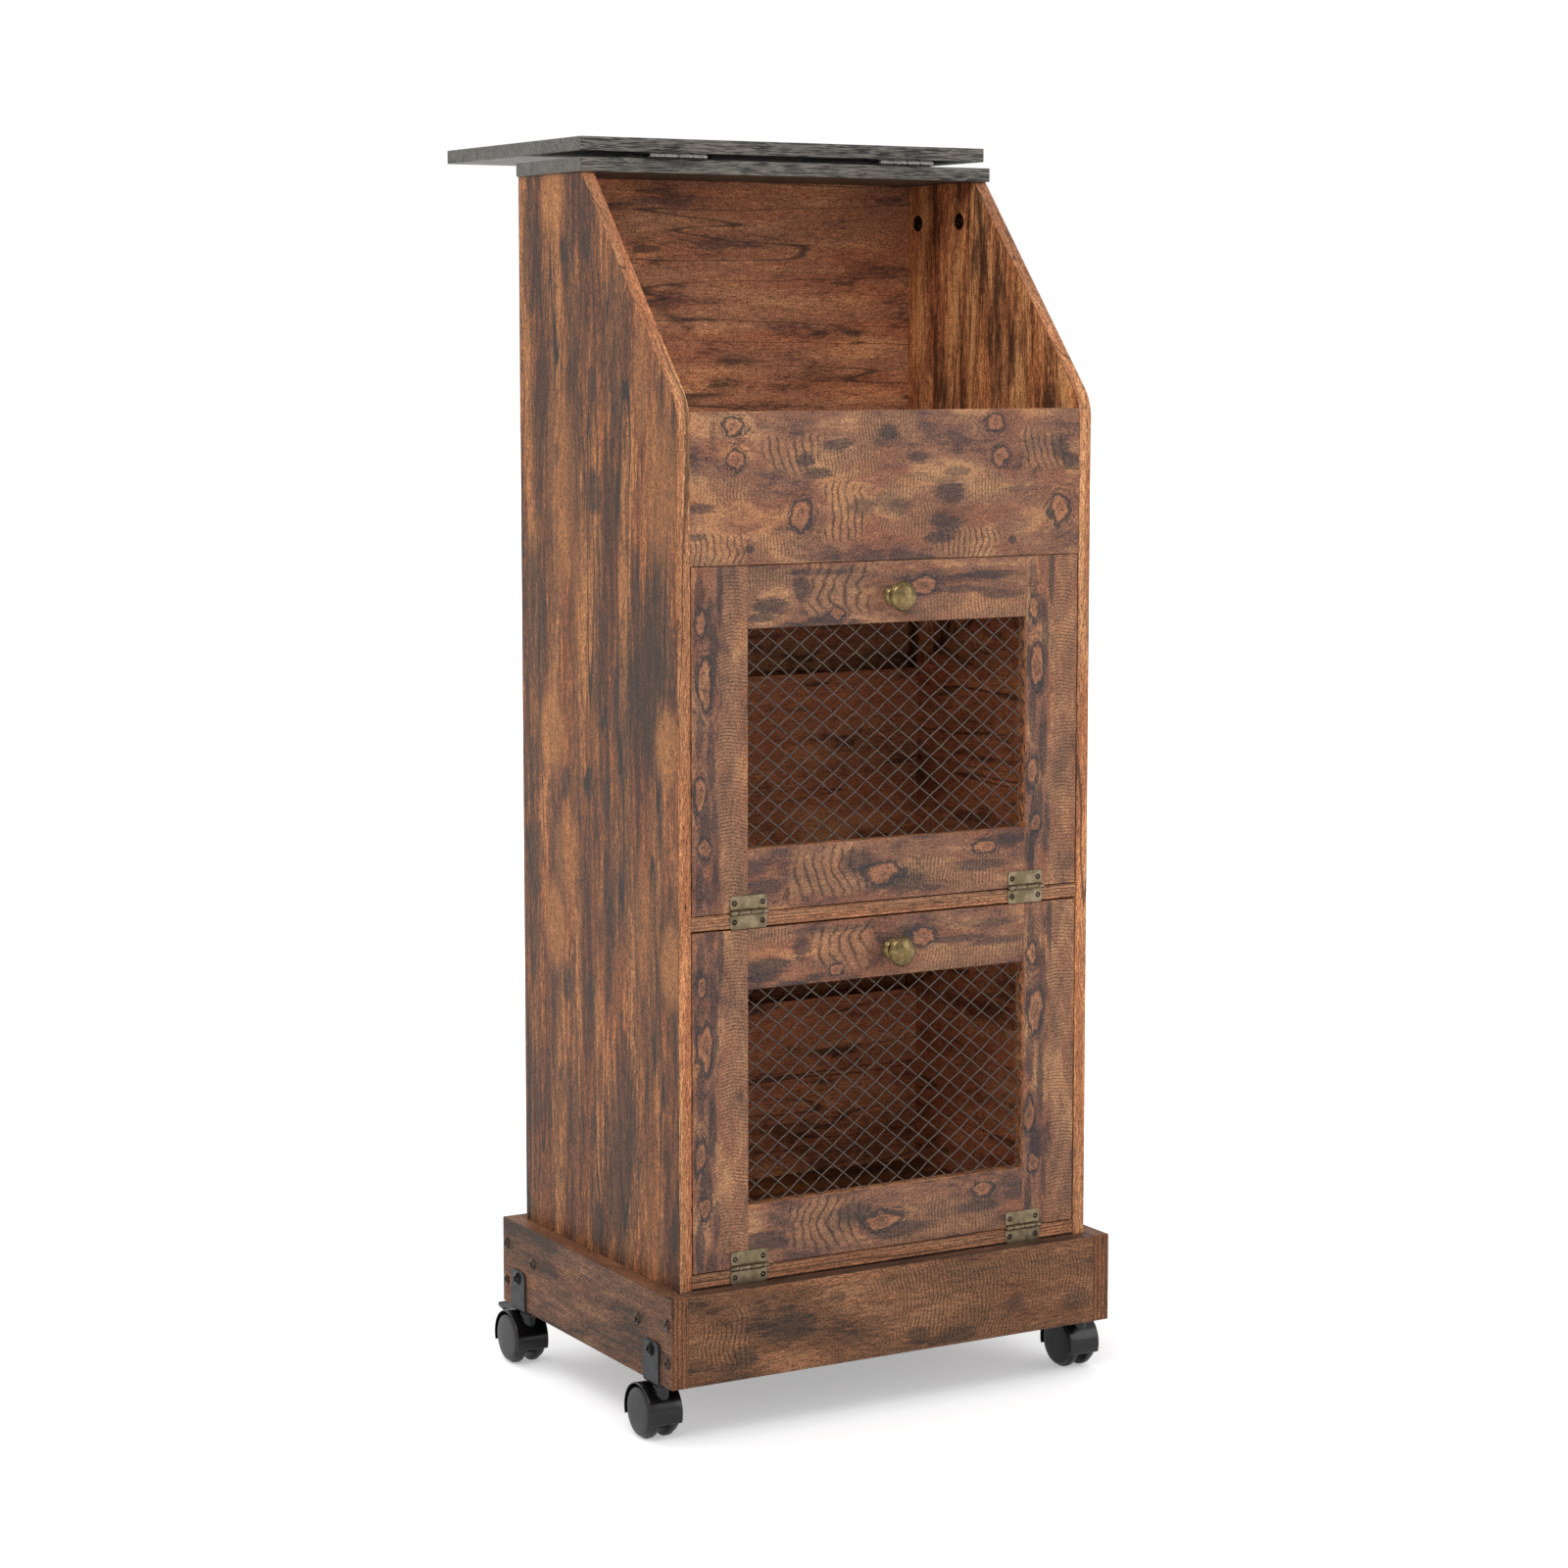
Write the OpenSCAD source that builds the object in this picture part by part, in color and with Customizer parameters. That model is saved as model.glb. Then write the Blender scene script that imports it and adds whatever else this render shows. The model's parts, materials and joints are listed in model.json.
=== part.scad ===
// Slant-top bin cabinet on four twin-wheel casters: an open top bin under a
// folding lid, and two mesh-fronted bins that tilt out on butt hinges.
// Origin on the floor, under the centre of the body. -Y is the front.

/* [Body] */
// Width across the outer faces of the side panels
body_w = 405; // [385:1:425]
// Depth of the body from front face to back face
body_d = 291; // [287:1:297]
// Thickness of the body, door, lid and top boards
board_t = 12; // [11.5:0.5:13]
// Clear height of each of the two bin openings
opening_h = 288; // [284:1:294]
// Height of the fixed front panel of the top bin
front_h = 125; // [110:1:140]
// Horizontal run of the slanted edge of the side panels
slant_d = 169; // [160:1:175]
// Rise of the slanted edge of the side panels
slant_h = 193; // [185:1:205]
// Rounding where the slanted edge meets the front edge
corner_r = 40; // [25:1:50]
// Side overhang of the top board
top_over = 2; // [0:0.5:4]

/* [Lid] */
// Width of the lid
lid_w = 404; // [395:1:409]
// Depth of the lid from its hinge edge to its free edge
lid_d = 269; // [262:1:275]
// Space between the folded-back lid and the top board
lid_gap = 5.6; // [5.4:0.1:6.4]
// Distance of the lid's two hinges from the middle
lid_hinge_x = 114; // [90:1:130]

/* [Plinth and casters] */
// Thickness of the plinth boards
plinth_t = 16; // [16:0.5:18]
// Height of the plinth boards
plinth_h = 77; // [74:1:82]
// Radius of the caster wheels
wheel_r = 23; // [22.5:0.1:23.5]
// Distance of each caster's stem from the front or back face of the body
stem_in = 18; // [16:0.5:22]

/* [Doors] */
// Width of the door stiles
stile_w = 52.5; // [48:0.5:56]
// Height of the door rails
rail_h = 51; // [48:0.5:54]
// Gap between a door and the side panels
door_side_gap = 1; // [0.8:0.1:2]
// Distance of each door hinge from the middle
hinge_x = 137; // [132:0.5:142]
// Width of the wires of the mesh
wire_w = 1.4; // [1.2:0.1:1.8]
// Thickness of the boards of the tilting bins
bin_t = 6; // [5:0.5:7]
// Depth of the tilting bins, from the front face to the back of the bin
bin_d = 247; // [235:1:250]
// Height of the back of the tilting bins above the shelf
bin_back_h = 170; // [150:1:171]

/* [Hidden] */
yf = -body_d / 2;
yb = body_d / 2;
xs = body_w / 2;
xi = xs - board_t;
xp = xs + plinth_t;
caster_h = 2 * wheel_r + 6;
zp0 = caster_h;
zp1 = zp0 + plinth_h;
z_low = zp1 - 50;
z_b = zp1 + 1;
z_m = z_b + board_t + opening_h;
z_f = z_m + board_t + opening_h;
z_fp = z_f + front_h;
z_c = z_fp + 6;
z_t = z_c + slant_h;
phi = atan2(slant_h, slant_d);
corner_l = corner_r * tan((90 - phi) / 2);
top_y0 = yf + slant_d - 4;
z_tt = z_t + board_t;
// the lid hinge line: ahead of the top board, at the height that lets the closed lid
// come to rest 0.3 mm above the slanted edges
lid_ya = top_y0 - 4.2;
lid_y0 = lid_ya + 10.4;
z_l = z_tt + lid_gap;
lid_za = (z_l + board_t + 0.3 - (yf + slant_d - lid_ya) * sin(phi) + z_t * cos(phi))
    / (1 + cos(phi));
lid_leaf_t = 1.4;
lid_hinge_w = 55;
lid_knuckle_r = 2;
z_us = z_m + board_t;
z_ls = z_b + board_t;
door_h = opening_h - 3.5;
door_x = xi - door_side_gap;
win_x = door_x - stile_w;
win_h = door_h - 2 * rail_h;
pin_dy = 2.4;
knuckle_r = 2.1;
pin_r = 1.1;
leaf_t = 1;
leaf_h = 14;
hinge_w = 35;
mesh_y = 4;
groove_t = 1.6;
groove_d = 4;
cell_n = 13;
cell_m = 11;
cell_x = (win_x + 1) / cell_n;
cell_z = (win_h + 3.2) / (2 * cell_m);
bin_x = xi - 6.5;
cam_y1 = top_y0 + 28;
cam_y2 = yb - 28;
cam_z = z_t - 34.5;
stem_r = 3.5;
trail = 14;
half_web = 4.6;
wheel_x0 = 5;
wheel_x1 = 15.6;
hood_r = wheel_r + 1.8;

wood = [0.42, 0.26, 0.17];
wood_dark = [0.3, 0.19, 0.13];
grey = [0.37, 0.36, 0.345];
brass = [0.52, 0.46, 0.34];
steel = [0.5, 0.49, 0.47];
black = [0.08, 0.08, 0.085];
wire = [0.36, 0.31, 0.29];

// a plate of thickness t, drawn in (y, z) and standing up from x
module yz_plate(x, t) {
    translate([x, 0, 0]) rotate([90, 0, 90]) linear_extrude(t) children();
}

// a cylinder along X from x0 to x1
module xcyl(x0, x1, y, z, r, fn = 48) {
    translate([x0, y, z]) rotate([0, 90, 0]) cylinder(r = r, h = x1 - x0, $fn = fn);
}

// a cylinder along Y from y0 to y1
module ycyl(x, y0, y1, z, r, fn = 32) {
    translate([x, y1, z]) rotate([90, 0, 0]) cylinder(r = r, h = y1 - y0, $fn = fn);
}

module zcyl(x, y, z0, z1, r, fn = 32) {
    translate([x, y, z0]) cylinder(r = r, h = z1 - z0, $fn = fn);
}

module box(a, b) {
    translate(a) cube(b - a);
}

// outline of a side panel in (y, z): vertical front edge, rounded corner, slanted edge
module side_outline() {
    t1 = [yf, z_c - corner_l];
    t2 = [yf + corner_l * cos(phi), z_c + corner_l * sin(phi)];
    difference() {
        polygon([[yf, z_low], [yf, z_c], [yf + slant_d, z_t], [yb, z_t], [yb, z_low]]);
        difference() {
            polygon([t1, [yf - 5, z_c - corner_l], [yf - 5, z_c + 20], t2]);
            translate([yf + corner_r, z_c - corner_l]) circle(r = corner_r, $fn = 96);
        }
    }
}

// heights of the screws in the plinth's side boards
screw_zs = [zp1 - 23, zp1 - 56];

// side panel with its cam pockets, cam bolt holes and plinth screw holes; s is -1 or 1
module side_panel(s) {
    x0 = s < 0 ? -xs : xi;
    difference() {
        yz_plate(x0, board_t) side_outline();
        for (y = [cam_y1, cam_y2]) {
            xcyl(s < 0 ? -xi - 9 : xi, s < 0 ? -xi : xi + 9, y, cam_z, 7.5);
            zcyl(s * (xs - board_t / 2), y, cam_z + 7, z_t + 1, 3);
        }
        for (y = [yf + 45, yb - 45])
            xcyl(s < 0 ? -xs - 1 : xs - 7, s < 0 ? -xs + 7 : xs + 1, y, zp1 - 30, 1.9, 32);
    }
}

module side_panel_left() color(wood) side_panel(-1);
module side_panel_right() color(wood) side_panel(1);

module back_panel() color(wood) box([-xi, yb - board_t, z_low], [xi, yb, z_t]);

module top_board() color(grey) difference() {
    box([-xs - top_over, top_y0, z_t], [xs + top_over, yb, z_tt]);
    for (s = [-1, 1]) for (y = [cam_y1, cam_y2])
        zcyl(s * (xs - board_t / 2), y, z_t - 1, z_t + 8, 3);
    for (s = [-1, 1]) for (d = [-18, 18])
        zcyl(s * lid_hinge_x + d, lid_ya + 17, z_tt - 8, z_tt + 1, 1.3);
}

module front_panel() color(wood) box([-xi, yf, z_f], [xi, yf + board_t, z_fp]);
module top_bin_floor() color(wood)
    box([-xi, yf + board_t, z_f], [xi, yb - board_t, z_f + board_t]);

// a shelf that carries the hinges of the door above it in its front edge
module shelf(z0) difference() {
    box([-xi, yf, z0], [xi, yb - board_t, z0 + board_t]);
    for (s = [-1, 1]) for (d = [-13.4, 13.4])
        ycyl(s * hinge_x + d, yf - 1, yf + 10, z0 + board_t + 1 - 7.9, 1.2);
}

module middle_shelf() color(wood) shelf(z_m);
// the bottom shelf also closes the joint over the plinth, a little way back from the front
module bottom_shelf() color(wood) union() {
    shelf(z_b);
    box([-xi, yf + 2, zp1], [xi, yb - board_t, z_b]);
}

module plinth_end(y0) difference() {
    box([-xs, y0, zp0], [xs, y0 + plinth_t, zp1]);
    for (s = [-1, 1]) for (z = screw_zs)
        xcyl(s < 0 ? -xs - 1 : xs - 20, s < 0 ? -xs + 20 : xs + 1, y0 + plinth_t / 2, z, 1.9, 32);
}

module plinth_front() color(wood_dark) plinth_end(yf - plinth_t);
module plinth_back() color(wood_dark) plinth_end(yb);

// the three screws at each end of a plinth side board: y, z and how deep each one goes
function plinth_screws_at() = [
    [yf - plinth_t / 2, zp1 - 23, 20],
    [yf - plinth_t / 2, zp1 - 56, 20],
    [yf + 45, zp1 - 30, 7],
    [yb + plinth_t / 2, zp1 - 23, 20],
    [yb + plinth_t / 2, zp1 - 56, 20],
    [yb - 45, zp1 - 30, 7]
];

module plinth_side(s) difference() {
    box([s < 0 ? -xp : xs, yf - plinth_t, zp0], [s < 0 ? -xs : xp, yb + plinth_t, zp1]);
    for (p = plinth_screws_at()) xcyl(s < 0 ? -xp - 1 : xs - 1, s < 0 ? -xs + 1 : xp + 1, p[0], p[1], 1.9, 32);
    for (y = [yf + stem_in, yb - stem_in])
        xcyl(s < 0 ? -xp - 1 : xp - 13, s < 0 ? -xp + 13 : xp + 1, y, zp0 + 28, 1.9, 32);
}

module plinth_left() color(wood_dark) plinth_side(-1);
module plinth_right() color(wood_dark) plinth_side(1);

// cam locks: discs with a cross slot, flush in the inner faces of the side panels
module cam_locks() color(black) for (s = [-1, 1]) for (y = [cam_y1, cam_y2]) difference() {
    xcyl(s < 0 ? -xi - 8.6 : xi, s < 0 ? -xi : xi + 8.6, y, cam_z, 7.45);
    box([s < 0 ? -xi - 1.5 : xi - 1, y - 4.5, cam_z - 0.8], [s < 0 ? -xi + 1 : xi + 1.5, y + 4.5, cam_z + 0.8]);
    box([s < 0 ? -xi - 1.5 : xi - 1, y - 0.8, cam_z - 4.5], [s < 0 ? -xi + 1 : xi + 1.5, y + 0.8, cam_z + 4.5]);
}

module cam_bolts() color(steel) for (s = [-1, 1]) for (y = [cam_y1, cam_y2])
    zcyl(s * (xs - board_t / 2), y, cam_z + 7.6, z_t + 8, 3);

// button-head screw along X with its head on the face at x, pointing to the middle
module side_screw(s, x, y, z, l, hr, hh) {
    xcyl(s < 0 ? -x : x - l, s < 0 ? -x + l : x, y, z, 1.9, 32);
    difference() {
        union() {
            xcyl(s < 0 ? -x - hh * 0.6 : x, s < 0 ? -x : x + hh * 0.6, y, z, hr);
            xcyl(s < 0 ? -x - hh : x, s < 0 ? -x : x + hh, y, z, hr * 0.72);
        }
        xcyl(s < 0 ? -x - hh - 1 : x + hh - 1.2, s < 0 ? -x - hh + 1.2 : x + hh + 1, y, z, 1.4, 6);
    }
}

module plinth_screws() color(black) for (s = [-1, 1]) {
    for (p = plinth_screws_at()) side_screw(s, xp, p[0], p[1], plinth_t + p[2] - 0.5, 5, 2);
    for (y = [yf + stem_in, yb - stem_in]) side_screw(s, xp + 2, y, zp0 + 28, 14.5, 6, 3);
}

// strap folded under the plinth's side board, with the stem's seat in its foot
module caster_bracket(s, y) difference() {
    union() {
        box([s < 0 ? -xp - 2 : xp, y - 13.3, zp0 - 2], [s < 0 ? -xp : xp + 2, y + 13.3, zp0 + 30]);
        box([s < 0 ? -xp - 2 : xp, y - 8.3, zp0 + 29], [s < 0 ? -xp : xp + 2, y + 8.3, zp0 + 35]);
        for (d = [-8.3, 8.3]) xcyl(s < 0 ? -xp - 2 : xp, s < 0 ? -xp : xp + 2, y + d, zp0 + 30, 5);
        box([s < 0 ? -xp - 2 : xs + 1, y - 13.3, zp0 - 2], [s < 0 ? -xs - 1 : xp + 2, y + 13.3, zp0]);
    }
    xcyl(s < 0 ? -xp - 3 : xp - 1, s < 0 ? -xp + 1 : xp + 3, y, zp0 + 28, 1.9, 32);
}

stem_x = xp - plinth_t / 2;

module caster_brackets() color(black) for (s = [-1, 1]) for (y = [yf + stem_in, yb - stem_in])
    caster_bracket(s, y);

module caster_stems() color(steel) for (s = [-1, 1]) for (y = [yf + stem_in, yb - stem_in]) {
    zcyl(s * stem_x, y, wheel_r + 10, zp0 - 2, stem_r, 48);
    zcyl(s * stem_x, y, zp0 - 3.2, zp0 - 2, 6, 48);
}

// edges of the four knuckles along a hinge of width w, and which leaf owns each
function knuckle_edges(w, e) = [for (k = e) w * (k - 0.5)];
door_edges = knuckle_edges(hinge_w, [0, 0.19, 0.52, 0.85, 1]);
lid_edges = knuckle_edges(lid_hinge_w, [0, 0.25, 0.5, 0.75, 1]);

// a flat plate with two rounded corners away from the pin, in (x, z), from z0 to z1
module leaf_plate(w, z0, z1, r = 2) {
    hi = z1 > z0 ? z1 - r : z1 + r;
    union() {
        polygon([[-w / 2, z0], [w / 2, z0], [w / 2, hi], [w / 2 - r, z1], [-w / 2 + r, z1], [-w / 2, hi]]);
        for (d = [-1, 1]) translate([d * (w / 2 - r), hi]) circle(r = r, $fn = 32);
    }
}

// leaf of a door hinge at (x, z) of its pin: up is 1 for the door's, -1 for the shelf's
module door_leaf(x, z, up) difference() {
    union() {
        translate([x, yf, z]) rotate([90, 0, 0]) linear_extrude(leaf_t)
            leaf_plate(hinge_w, up * 2.6, up * leaf_h);
        for (k = [0:3]) if (k % 2 == (up > 0 ? 1 : 0)) {
            xcyl(x + door_edges[k] + 0.15, x + door_edges[k + 1] - 0.15, yf - pin_dy, z, knuckle_r);
            box([x + door_edges[k] + 0.15, yf - leaf_t, up > 0 ? z : z - 3],
                [x + door_edges[k + 1] - 0.15, yf - 0.3, up > 0 ? z + 3 : z]);
        }
    }
    xcyl(x - hinge_w, x + hinge_w, yf - pin_dy, z, up > 0 ? pin_r + 0.05 : pin_r, 32);
    for (d = [-13.4, 13.4]) ycyl(x + d, yf - 3, yf + 1, z + up * 7.9, 2.3);
}

module shelf_hinge_leaves() color(brass) for (zs = [z_ls, z_us]) for (s = [-1, 1])
    door_leaf(s * hinge_x, zs + 1, -1);

// leaf of a lid hinge: up is 1 for the lid's leaf, -1 for the top board's
module lid_leaf(x, up) {
    za = up > 0 ? z_l - lid_leaf_t : z_tt;
    y0 = lid_ya + (up > 0 ? 4 : 4);
    y1 = lid_ya + (up > 0 ? 28 : 24);
    difference() {
        union() {
            box([x - lid_hinge_w / 2, y0, za], [x + lid_hinge_w / 2, y1, za + lid_leaf_t]);
            for (k = [0:3]) if (k % 2 == (up > 0 ? 1 : 0)) {
                xcyl(x + lid_edges[k] + 0.2, x + lid_edges[k + 1] - 0.2, lid_ya, lid_za, lid_knuckle_r);
                box([x + lid_edges[k] + 0.2, lid_ya, up > 0 ? za : za],
                    [x + lid_edges[k + 1] - 0.2, y0 + 1, za + lid_leaf_t]);
            }
        }
        xcyl(x - lid_hinge_w, x + lid_hinge_w, lid_ya, lid_za, up > 0 ? 1.05 : 1, 32);
        for (d = [-18, 18]) zcyl(x + d, up > 0 ? lid_ya + 20 : lid_ya + 17, za - 1, za + lid_leaf_t + 1, 2.4);
    }
}

module top_hinge_leaves() color(steel) for (s = [-1, 1]) lid_leaf(s * lid_hinge_x, -1);
module lid_hinge_leaves() color(steel) for (s = [-1, 1]) lid_leaf(s * lid_hinge_x, 1);

module hinge_pins() color(steel) {
    for (zs = [z_ls, z_us]) for (s = [-1, 1])
        xcyl(s * hinge_x - hinge_w / 2 - 0.4, s * hinge_x + hinge_w / 2 + 0.4, yf - pin_dy, zs + 1, pin_r, 32);
    for (s = [-1, 1])
        xcyl(s * lid_hinge_x - lid_hinge_w / 2, s * lid_hinge_x + lid_hinge_w / 2, lid_ya, lid_za, 1, 32);
}

// countersunk screw of a door hinge, along Y
module door_hinge_screw(x, z) {
    ycyl(x, yf - leaf_t, yf + 9.5, z, 1.2);
    difference() {
        ycyl(x, yf - leaf_t - 0.4, yf, z, 2.3);
        box([x - 1.6, yf - 3, z - 0.3], [x + 1.6, yf - leaf_t + 0.2, z + 0.3]);
    }
}

module body_hinge_screws() color(steel) {
    for (zs = [z_ls, z_us]) for (s = [-1, 1]) for (d = [-13.4, 13.4])
        door_hinge_screw(s * hinge_x + d, zs + 1 - 7.9);
    for (s = [-1, 1]) for (d = [-18, 18]) {
        zcyl(s * lid_hinge_x + d, lid_ya + 17, z_tt - 7.5, z_tt + 0.5, 1.3);
        zcyl(s * lid_hinge_x + d, lid_ya + 17, z_tt, z_tt + lid_leaf_t, 2.4);
    }
}

// magnetic catches under the board above each door
module magnetic_catches() color(black) for (zc = [z_m, z_f]) difference() {
    box([-16, yf + board_t + 1.8, zc - 13], [16, yf + board_t + 26, zc]);
    box([-9, yf + board_t + 1, zc - 10], [9, yf + board_t + 3.4, zc - 7.5]);
    box([-9, yf + board_t + 1, zc - 5.5], [9, yf + board_t + 3.4, zc - 3]);
}

module lid() color(grey) difference() {
    box([-lid_w / 2, lid_y0, z_l], [lid_w / 2, lid_y0 + lid_d, z_l + board_t]);
    for (s = [-1, 1]) for (d = [-18, 18])
        zcyl(s * lid_hinge_x + d, lid_ya + 20, z_l - 1, z_l + 8, 1.3);
}

module lid_hinge_screws() color(steel) for (s = [-1, 1]) for (d = [-18, 18]) {
    zcyl(s * lid_hinge_x + d, lid_ya + 20, z_l - 0.5, z_l + 7.5, 1.3);
    zcyl(s * lid_hinge_x + d, lid_ya + 20, z_l - lid_leaf_t, z_l, 2.4);
}

// the doors: zs is the top of the shelf each one stands over
door_z0 = 2;
// the frame reaches further down and up than the bin behind it, to close the joints
door_foot = 0.8;
function door_tip(zs) = zs == z_us ? 0.8 : 0;
// the knob sits a little under and to the right of the middle of the top rail, as seen
knob_x = 1.9;
knob_z = door_z0 + door_h - rail_h / 2 - 2.6;

module stiles(zs) difference() {
    for (s = [-1, 1]) box([s < 0 ? -door_x : win_x, yf, zs + door_foot],
        [s < 0 ? -win_x : door_x, yf + board_t, zs + door_z0 + door_h + door_tip(zs)]);
    box([-win_x - groove_d, yf + mesh_y - groove_t / 2, zs + door_z0 + rail_h - groove_d],
        [win_x + groove_d, yf + mesh_y + groove_t / 2, zs + door_z0 + rail_h + win_h + groove_d]);
    for (s = [-1, 1]) for (d = [-13.4, 13.4])
        ycyl(s * hinge_x + d, yf - 1, yf + 10, zs + 1 + 7.9, 1.2);
}

module rails(zs) difference() {
    union() {
        box([-win_x, yf, zs + door_foot], [win_x, yf + board_t, zs + door_z0 + rail_h]);
        box([-win_x, yf, zs + door_z0 + rail_h + win_h],
            [win_x, yf + board_t, zs + door_z0 + door_h + door_tip(zs)]);
    }
    box([-win_x - groove_d, yf + mesh_y - groove_t / 2, zs + door_z0 + rail_h - groove_d],
        [win_x + groove_d, yf + mesh_y + groove_t / 2, zs + door_z0 + rail_h + win_h + groove_d]);
    for (s = [-1, 1]) for (d = [-13.4, 13.4])
        ycyl(s * hinge_x + d, yf - 1, yf + 10, zs + 1 + 7.9, 1.2);
    ycyl(knob_x, yf - 1, yf + board_t + 1, zs + knob_z, 2);
}

// diamond mesh in (x, z): a sheet with its cells cut out, its rim inside the grooves
mesh_hx = win_x + groove_d - 0.1;
mesh_z0 = rail_h - groove_d + 0.1;
mesh_z1 = rail_h + win_h + groove_d - 0.1;
cell_d = cell_x * cell_z / sqrt(cell_x * cell_x + cell_z * cell_z);
cell_k = 1 - wire_w / 2 / cell_d;
cell_a = cell_x * cell_k;
cell_b = cell_z * cell_k;
mesh_cells = [for (i = [0:2 * cell_n]) for (j = [0:2 * cell_m]) if ((i + j) % 2 == 0) [i, j]];

function cell_loop(i, j) = let (
    cx = -win_x - 1 + i * cell_x,
    cz = rail_h - 0.8 + j * cell_z,
    l = i == 0 ? 0 : 1,
    r = i == 2 * cell_n ? 0 : 1,
    b = j == 0 ? 0 : 1,
    t = j == 2 * cell_m ? 0 : 1
) concat(
    l == 1 ? [[cx - cell_a, cz]] : [],
    b == 1 ? [[cx, cz - cell_b]] : [],
    r == 1 ? [[cx + cell_a, cz]] : [],
    t == 1 ? [[cx, cz + cell_b]] : []
);

module mesh(zs) translate([0, yf + mesh_y + groove_t / 2, zs + door_z0]) rotate([90, 0, 0])
    linear_extrude(groove_t) difference() {
        translate([-mesh_hx, mesh_z0]) square([2 * mesh_hx, mesh_z1 - mesh_z0]);
        for (c = mesh_cells) if (len(cell_loop(c[0], c[1])) > 2) polygon(cell_loop(c[0], c[1]));
    }

// mushroom knob on a stepped rose
module knob(zs) translate([knob_x, yf, zs + knob_z]) rotate([90, 0, 0]) difference() {
    rotate_extrude($fn = 64) polygon([
        [0, 0], [8.6, 0], [8.6, 1.1], [7.8, 2.1], [6.4, 2.6], [5.3, 4.2], [4.8, 7],
        [5, 10], [6.6, 12.6], [9.8, 14.6], [12.2, 16], [12.8, 17.6], [12.4, 19.2],
        [10.6, 20.9], [7.4, 22.2], [3.6, 22.9], [0, 23.1]
    ]);
    translate([0, 0, -1]) cylinder(r = 2, h = 10, $fn = 32);
}

// knob screw and hinge screws of a door
module fixings(zs) {
    for (s = [-1, 1]) for (d = [-13.4, 13.4]) door_hinge_screw(s * hinge_x + d, zs + 1 + 7.9);
    ycyl(knob_x, yf - 8.5, yf + board_t, zs + knob_z, 2);
    ycyl(knob_x, yf + board_t, yf + board_t + 2, zs + knob_z, 4.5);
}

module bin_sides(zs) for (s = [-1, 1]) yz_plate(s < 0 ? -bin_x : bin_x - bin_t, bin_t) polygon([
    [yf + board_t, zs + door_z0],
    [yf + board_t, zs + door_h - 16],
    [yf + board_t + 30, zs + door_h - 16],
    [yf + bin_d, zs + bin_back_h],
    [yf + bin_d, zs + door_z0]
]);

module bin_back(zs) box([-bin_x + bin_t, yf + bin_d - bin_t, zs + door_z0 + bin_t],
    [bin_x - bin_t, yf + bin_d, zs + bin_back_h]);

module bin_bottom(zs) box([-bin_x + bin_t, yf + board_t, zs + door_z0],
    [bin_x - bin_t, yf + bin_d, zs + door_z0 + bin_t]);

module strike_plate(zs) box([-14, yf + board_t, zs + opening_h - 13],
    [14, yf + board_t + 1.5, zs + opening_h - 3]);

module door_leaves(zs) for (s = [-1, 1]) door_leaf(s * hinge_x, zs + 1, 1);

module upper_stiles() color(wood) stiles(z_us);
module upper_rails() color(wood) rails(z_us);
module upper_mesh() color(wire) mesh(z_us);
module upper_knob() color(brass) knob(z_us);
module upper_hinge_leaves() color(brass) door_leaves(z_us);
module upper_fixings() color(steel) fixings(z_us);
module upper_bin_sides() color(wood) bin_sides(z_us);
module upper_bin_back() color(wood) bin_back(z_us);
module upper_bin_bottom() color(wood) bin_bottom(z_us);
module upper_strike_plate() color(steel) strike_plate(z_us);
module lower_stiles() color(wood) stiles(z_ls);
module lower_rails() color(wood) rails(z_ls);
module lower_mesh() color(wire) mesh(z_ls);
module lower_knob() color(brass) knob(z_ls);
module lower_hinge_leaves() color(brass) door_leaves(z_ls);
module lower_fixings() color(steel) fixings(z_ls);
module lower_bin_sides() color(wood) bin_sides(z_ls);
module lower_bin_back() color(wood) bin_back(z_ls);
module lower_bin_bottom() color(wood) bin_bottom(z_ls);
module lower_strike_plate() color(steel) strike_plate(z_ls);

// ---- casters: each drawn with its stem on the Z axis, wheels trailing to +Y ----

// the open underside of the hood, seen along X
module hood_mouth() yz_plate(-20, 40) polygon([
    [trail, wheel_r],
    [trail - 40 * cos(18), wheel_r - 40 * sin(18)],
    [trail - 40, wheel_r - 60],
    [trail + 60, wheel_r - 60],
    [trail + 60 * cos(17), wheel_r - 60 * sin(17)]
]);

// hood, central web, stem boss and axle of one caster
module housing(brake) difference() {
    union() {
        difference() {
            union() {
                difference() {
                    xcyl(-15.2, 15.2, trail, wheel_r, hood_r, 96);
                    xcyl(-16, 16, trail, wheel_r, wheel_r + 0.6, 96);
                }
                xcyl(-half_web, half_web, trail, wheel_r, wheel_r + 1.2, 96);
            }
            hood_mouth();
        }
        xcyl(-half_web, half_web, trail, wheel_r, wheel_r - 7, 96);
        difference() {
            zcyl(0, 0, wheel_r + 8, zp0 - 3.6, 7, 48);
            for (s = [-1, 1]) xcyl(s < 0 ? -16 : half_web - 0.1, s < 0 ? -half_web + 0.1 : 16,
                trail, wheel_r, wheel_r + 0.6, 96);
        }
        xcyl(-14.2, 14.2, trail, wheel_r, 3);
    }
    zcyl(0, 0, wheel_r + 9.5, zp0, stem_r + 0.05, 48);
    if (brake) {
        box([-2.6, trail + 5, wheel_r + 9.5], [2.6, trail + 40, wheel_r + 30]);
        xcyl(-4, 4, trail + 10, wheel_r + 15, 1.55, 32);
    }
}

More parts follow.
